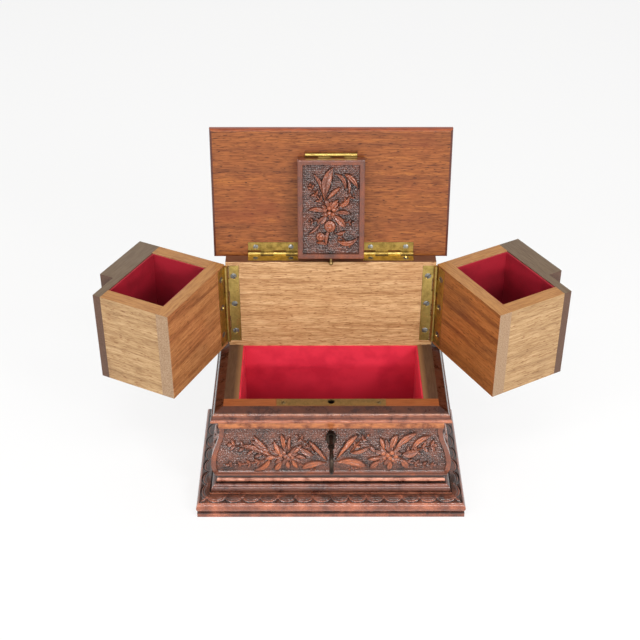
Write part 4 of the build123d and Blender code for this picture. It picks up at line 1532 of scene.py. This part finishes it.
@dataclass
class SlottedScrews:
    """Flat-headed wood screws, each with its slot at a chance angle, in place of the plain pins.

    Rings give each screw's outline: a share of the head's radius, then a depth as millimetres below its face,
    a share of the head's radius and a share of the length.
    """

    slot_width: float = 0.9
    slot_depth: float = 0.8
    slot_reach: float = 2.4
    sides: int = 28
    face: float = 0.9
    rings: tuple = (
        (0.98, 0.1, 0.0, 0.0), (1.0, 0.2, 0.0, 0.0), (0.98, 0.32, 0.0, 0.0), (0.46, 0.0, 0.52, 0.0),
        (0.44, 0.0, 0.0, 0.62), (0.3, 0.0, 0.0, 0.9), (0.04, 0.0, 0.0, 1.0),
    )
    groups: tuple = (
        ("side_hinge_panel", "base"), ("lid_hinge_panel", "base"), ("lock_plate", "base"),
        ("lid_hinge_lid", "lid"), ("flap_hinge_lid", "lid"), ("flap_hinge_flap", "flap"),
        ("left_hinge_tray", "left_tray"), ("right_hinge_tray", "right_tray"),
    )

    def pattern(self, head: float, length: float) -> Piece:
        """Model one screw, its head's face at the origin, pointing down.

        Args:
            head: the head's radius, in metres.
            length: its length, in metres.

        Returns:
            The object.
        """
        clear_selection()
        bpy.ops.mesh.primitive_circle_add(vertices=self.sides, radius=head * self.face, fill_type="NGON")
        piece = fresh("screw_pattern")

        def draw_rings() -> None:
            """Extrude the face ring by ring."""
            radius, level = self.face, 0.0
            for share, down_mm, of_head, of_length in self.rings:
                depth = -(down_mm * MM + of_head * head + of_length * length)
                bpy.ops.mesh.extrude_region_move(TRANSFORM_OT_translate={"value": (0, 0, depth - level)})
                bpy.ops.transform.resize(value=(share / radius, share / radius, 1.0))
                radius, level = share, depth

        edit(piece, draw_rings, face_outward)
        bpy.ops.mesh.primitive_cube_add(size=1.0)
        tool = fresh("slot_tool")
        tool.data.transform(
            Matrix.Diagonal((head * self.slot_reach, self.slot_width * MM, 2 * self.slot_depth * MM, 1.0))
        )
        cutter = piece.modifiers.new("slot", "BOOLEAN")
        cutter.operation = "DIFFERENCE"
        cutter.solver = "EXACT"
        cutter.object = tool
        activate(piece)
        bpy.ops.object.modifier_apply(modifier="slot")
        bpy.data.objects.remove(tool)
        return piece

    def islands(self, node: str) -> list:
        """Find each screw of a node.

        Args:
            node: the node's name.

        Returns:
            For each screw: its head's middle, its outward direction, its head's radius and its length.
        """
        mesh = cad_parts[node].data
        points = np.array([v.co for v in mesh.vertices], float)
        keys = {}
        owner = np.array([keys.setdefault(micron_key(p), len(keys)) for p in points])
        parent = list(range(len(keys)))

        def root(k: int) -> int:
            """Follow a point to its island's first point."""
            while parent[k] != k:
                parent[k] = parent[parent[k]]
                k = parent[k]
            return k

        for polygon in mesh.polygons:
            ids = [owner[v] for v in polygon.vertices]
            for other in ids[1:]:
                parent[root(other)] = root(ids[0])
        unique = np.zeros((len(keys), 3))
        unique[owner] = points
        labels = np.array([root(k) for k in range(len(keys))])
        found = []
        for label in sorted(set(labels)):
            cloud = unique[labels == label]
            middle = cloud.mean(0)
            axis = np.linalg.svd(cloud - middle, full_matrices=False)[2][0]
            reach = (cloud - middle) @ axis
            wide = np.linalg.norm((cloud - middle) - reach[:, None] * axis, axis=1)
            if reach[np.argmax(wide)] < 0:
                axis, reach = -axis, -reach
            top = reach.max()
            found.append((middle + axis * top, axis, wide.max(), top - reach.min()))
        return found

    def build(self, finishes: dict) -> None:
        """Set the screws of every group, as one object a group.

        Args:
            finishes: the materials by name.
        """
        chance = np.random.default_rng(SEED)
        for part, body in self.groups:
            node = f"{part}_screws"
            copies = []
            for spot, axis, head, length in self.islands(node):
                piece = self.pattern(head, length)
                turn = Matrix.Rotation(chance.uniform(0, math.pi), 4, "Z")
                aim = Vector((0, 0, 1)).rotation_difference(Vector(axis)).to_matrix().to_4x4()
                piece.data.transform(Matrix.Translation(Vector(spot)) @ aim @ turn)
                copies.append(piece)
            activate(copies[0])
            for piece in copies:
                piece.select_set(True)
            bpy.ops.object.join()
            joined = fresh(f"slotted_{node}")
            coat_with(joined, finishes["dull_steel" if part == "lock_plate" else "steel"], 30)
            settle(joined, body, (node,))


# Finishes of the model's own pieces

@dataclass
class Dressing:
    """Gives every piece of the model the finish that the real one shows."""

    finishes: dict = field(default_factory=dict)

    def build_finishes(self) -> None:
        """Make all the materials."""
        ends = {"end": "#A08468", "top": "#B07C44"}
        tray = {"pale": "#C2A278", "tone": "#B29066", "dark": "#9C7A54", "pore": "#C4A68C",
                "raised_grain": 0.12}
        block = {"pale": "#7E6450", "tone": "#6A5342", "dark": "#4E3A2E", "end": "#5E4334", "top": "#6A563F"}
        # painted shade: the right tray's back board is a darker copy of the left's wood
        lit_and_shaded_backs = {
            "left": {"pale": "#BE8654", "tone": "#AE7648", "dark": "#8C5632", "raised_grain": 0.15},
            "right": {"pale": "#B26E38", "tone": "#9A5E2E", "dark": "#764220"},
        }
        wanted = [
            PlainWood("lid_walnut", "#A1612B", "#915325", "#7B441E", "#7A3B22", "#6A3323",
                      turn=(BOX.lid_open, 0.0, 0.0), stain="#7A361A", stain_share=0.5, roughness=0.42,
                      pore="#7E6250", fibre="#B8A08A", skin="#5E2E20", skin_edge="#92421C", arris="#5A2A1A",
                      skin_sides=((2, 1), (0, 1), (0, -1)), rubbed_sides=((1, 1), (1, -1))),
            PlainWood("panel_walnut", "#D2AC80", "#C2996C", "#AC8056", "#8A5A3E", "#6E4632", stain="#A87448",
                      pore="#B4947C", fibre="#CAB8A4", skin_sides=((1, 1),)),
            PlainWood("front_strip", "#BE7438", "#9A5228", "#5E2E16", "#8A4A24", "#96522A", stain="#43200F",
                      stain_share=0.85),
            PlainWood("side_strip", "#6E4E3A", "#583A28", "#3E2A1C", "#5A4030", "#52382A", grain=Grain.DEPTH,
                      stain="#2E2622", stain_share=0.6, inner_strip=(74.5, 78.5, "#8A6240")),
        ]
        for name, angle, hand in (("left", BOX.left_open, -1), ("right", -BOX.right_open, 1)):
            shared = {"turn": (0.0, 0.0, angle), "skin_sides": ((0, hand),)}
            wanted += [
                PlainWood(f"{name}_tray_back_board", **lit_and_shaded_backs[name], **ends, **shared),
                PlainWood(f"{name}_tray_end_board", grain=Grain.DEPTH, **tray, **ends, **shared),
                PlainWood(f"{name}_tray_block", gloss=0.25, turn=shared["turn"],
                          skin_sides=((0, hand), (1, -1)), **block),
            ]
        wanted += [
            CarvedWood("carved_limewood"),
            CarvedWood("carved_flap_wood", "#4E2E24", "#743C24", "#944C28", coat=0.8),
            CarvedWood("plinth_limewood", "#4A2C22", "#8A4E38", "#BC7050", coat=0.9, bump=0.8),
            # painted shade: the dark stops at the foot, in the quirk and on the cap under the frieze, and the
            # dark top; the bead's light stops are rubbed wear and a painted highlight
            MouldedWood(
                "step_moulding_wood", 15.0, 31.0,
                ((0.0, "#2E1C16"), (0.08, "#7A4630"), (0.16, "#A86448"), (0.2, "#5E3426"), (0.36, "#6E3E2C"),
                 (0.5, "#844A36"), (0.53, "#4A281C"), (0.57, "#BE7860"), (0.78, "#DA9A80"), (0.82, "#3A1E16"),
                 (0.86, "#1E100C")),
                "#20120D",
            ),
            # painted shade: the dark stop on the shelf under the arris
            MouldedWood(
                "top_moulding_wood", 77.5, 97.0,
                ((0.0, "#9A5A34"), (0.1, "#C07440"), (0.3, "#C27A48"), (0.44, "#96583A"), (0.52, "#B87050"),
                 (0.63, "#A05E42"), (0.67, "#5E3426"), (0.78, "#844A32"), (0.86, "#9C5C38"), (0.9, "#54321F"),
                 (0.95, "#4A2E22")),
                "#50291A",
            ),
            OldMetal("brass", "#C8AC62", "#86703C", 0.75, 0.3),
            OldMetal("lock_brass", "#9C8254", "#6A5836", 0.6, 0.42),
            # painted shade: a darker copy of the hinge brass for the lid's hinge leaves
            OldMetal("shaded_brass", "#A88C4A", "#5C4A24", 0.8, 0.36),
            OldMetal("steel", "#989894", "#54524E", 0.7, 0.34, 3.0),
            OldMetal("dull_steel", "#8A7856", "#5E4E34", 0.6, 0.42, 3.0),
            OldMetal("iron", "#4A3E36", "#1E1814", 0.7, 0.4, 3.0),
            # the foot colours and heights paint the shade low in the compartment and the trays
            Satin("compartment_satin", "#DE2A42", "#CC1E38", "#B01A30", 33.0, 70.0),
            Satin("tray_satin", "#A4162A", "#901022", "#660A16", 99.0, 160.0),
        ]
        for finish in wanted:
            self.finishes[finish.name] = finish.build()

    def node_finish(self, node: str) -> str:
        """Finish of one node of the model.

        Args:
            node: the node's name.

        Returns:
            The finish's name.
        """
        if "lining" in node:
            return "compartment_satin" if node.startswith("compartment") else "tray_satin"
        if node.endswith("screws"):
            return "steel"
        if node in ("key", "keyhole_escutcheon", "lock_case", "lock_bolt"):
            return "iron"
        if node in ("lock_plate", "catch_pin"):
            return "lock_brass"
        if "hinge" in node:
            # the lid's leaves take the darker copy of the brass, as painted shade
            return "shaded_brass" if node.startswith("lid_hinge_lid") else "brass"
        if node.startswith(("step_moulding", "top_moulding")):
            return node.rsplit("_", 1)[0] + "_wood"
        if node.startswith(("frieze", "plinth", "flap_panel")):
            return "carved_limewood"
        if node.startswith(("left", "right")):
            hand = node.split("_")[0]
            if node.endswith(("inner_end", "outer_end")):
                return f"{hand}_tray_end_board"
            return f"{hand}_tray_block" if node.endswith("front") else f"{hand}_tray_back_board"
        boards = {"lid_board": "lid_walnut", "back_panel": "panel_walnut", "carcass_front": "front_strip"}
        return boards.get(node, "side_strip")

    def dress(self) -> None:
        """Give every node its finish."""
        for name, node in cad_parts.items():
            node.data.materials.clear()
            node.data.materials.append(self.finishes[self.node_finish(name)])


# Studio

@dataclass
class Studio:
    """Pale floor, soft lamps and the camera."""

    camera_place: tuple = (-0.010329, -0.793434, 0.699187)
    camera_right: tuple = (0.99999854, -0.00168703, 0.00027189)
    camera_up: tuple = (0.00073295, 0.56719137, 0.82358570)
    lens: float = 68.4566
    lamps: tuple = (
        ("key_lamp", (0.8, -1.05, 0.85), (0.3, 0.3), 8.0),
        ("front_strip_lamp", (0.1, -1.4, 0.5), (1.6, 0.12), 9.0),
        ("overhead_strip", (0.1, -0.6, 1.25), (1.5, 0.07), 8.0),
        ("fill_lamp", (-0.9, -0.9, 0.8), (0.4, 0.4), 4.5),
        ("back_lamp", (-0.1, 0.9, 1.3), (0.9, 0.9), 2.5),
    )
    lamp_target: tuple = (0.0, 0.0, 0.12)
    world_level: float = 0.4
    floor_size: float = 12.0
    floor_glow: float = 0.8

    def build(self) -> None:
        """Set up floor, light and camera."""
        self._floor()
        self._lights()
        self._camera()
        bpy.context.scene.view_settings.view_transform = "Standard"

    def _floor(self) -> None:
        """Lay the floor, which shows nearly white and keeps a soft shadow."""
        clear_selection()
        bpy.ops.mesh.primitive_plane_add(size=self.floor_size, location=(0, 0, 0))
        floor = fresh("studio_floor")
        paper = Paint("studio_paper")
        paper.finish({"Base Color": linear("#F4F3F1"), "Roughness": 0.9, "Specular IOR Level": 0.1})
        share = paper.sum("MULTIPLY", self._seen(paper.tree), self.floor_glow)
        glow = paper.add("Emission", {"Color": (1, 1, 1, 1), "Strength": 1.0})
        lit = paper.tree.nodes["Principled BSDF"].outputs[0]
        mixed = paper.add("MixShader", {0: share, 1: lit, 2: glow})
        feed(paper.tree, paper.tree.nodes["Material Output"], {"Surface": mixed})
        floor.data.materials.append(paper.material)

    def _seen(self, tree: bpy.types.NodeTree) -> Socket:
        """Mask of the rays that see the studio itself: camera, glossy and transmission rays.

        Args:
            tree: the node tree of the floor or the air.

        Returns:
            The mask's socket.
        """
        rays = add_node(tree, "LightPath").outputs
        seen = rays["Is Camera Ray"]
        for kind in ("Is Glossy Ray", "Is Transmission Ray"):
            seen = add_node(tree, "Math", {"operation": "MAXIMUM", 0: seen, 1: rays[kind]}).outputs[0]
        return seen

    def _lights(self) -> None:
        """Hang the lamps and set the world's plain light."""
        for name, place, size, power in self.lamps:
            clear_selection()
            bpy.ops.object.light_add(type="AREA", location=place)
            lamp = fresh(name)
            lamp.data.shape = "RECTANGLE"
            lamp.data.size, lamp.data.size_y = size
            lamp.data.energy = power
            aim = Vector(self.lamp_target) - Vector(place)
            lamp.rotation_euler = aim.to_track_quat("-Z", "Y").to_euler()
            lamp.visible_camera = False
        world = bpy.data.worlds.new("studio_air")
        world.use_nodes = True
        bpy.context.scene.world = world
        tree = world.node_tree
        settings = {"Value": self._seen(tree), "To Min": self.world_level, "To Max": 1.0}
        strength = add_node(tree, "MapRange", settings).outputs[0]
        feed(tree, tree.nodes["Background"], {"Color": (1, 1, 1, 1), "Strength": strength})

    def _camera(self) -> None:
        """Stand the camera where the picture was taken."""
        data = bpy.data.cameras.new("picture_camera")
        data.sensor_width = 36.0
        data.lens = self.lens
        data.clip_end = 50.0
        camera = bpy.data.objects.new("picture_camera", data)
        bpy.context.scene.collection.objects.link(camera)
        right, up = Vector(self.camera_right), Vector(self.camera_up)
        turn = Matrix((right, up, right.cross(up))).transposed().to_4x4()
        camera.matrix_world = Matrix.Translation(Vector(self.camera_place)) @ turn
        bpy.context.scene.camera = camera


def main() -> None:
    """Build, dress and light the box."""
    logging.basicConfig(level=logging.INFO, format="%(message)s")
    dressing = Dressing()
    dressing.build_finishes()
    dressing.dress()
    Studio().build()
    Frieze().build(dressing.finishes["carved_limewood"])
    Plinth().build(dressing.finishes["plinth_limewood"])
    Flap().build(dressing.finishes["carved_flap_wood"])
    CarvedFields().build(dressing.finishes["carved_limewood"])
    SlottedScrews().build(dressing.finishes)


if __name__ == "__main__":
    main()
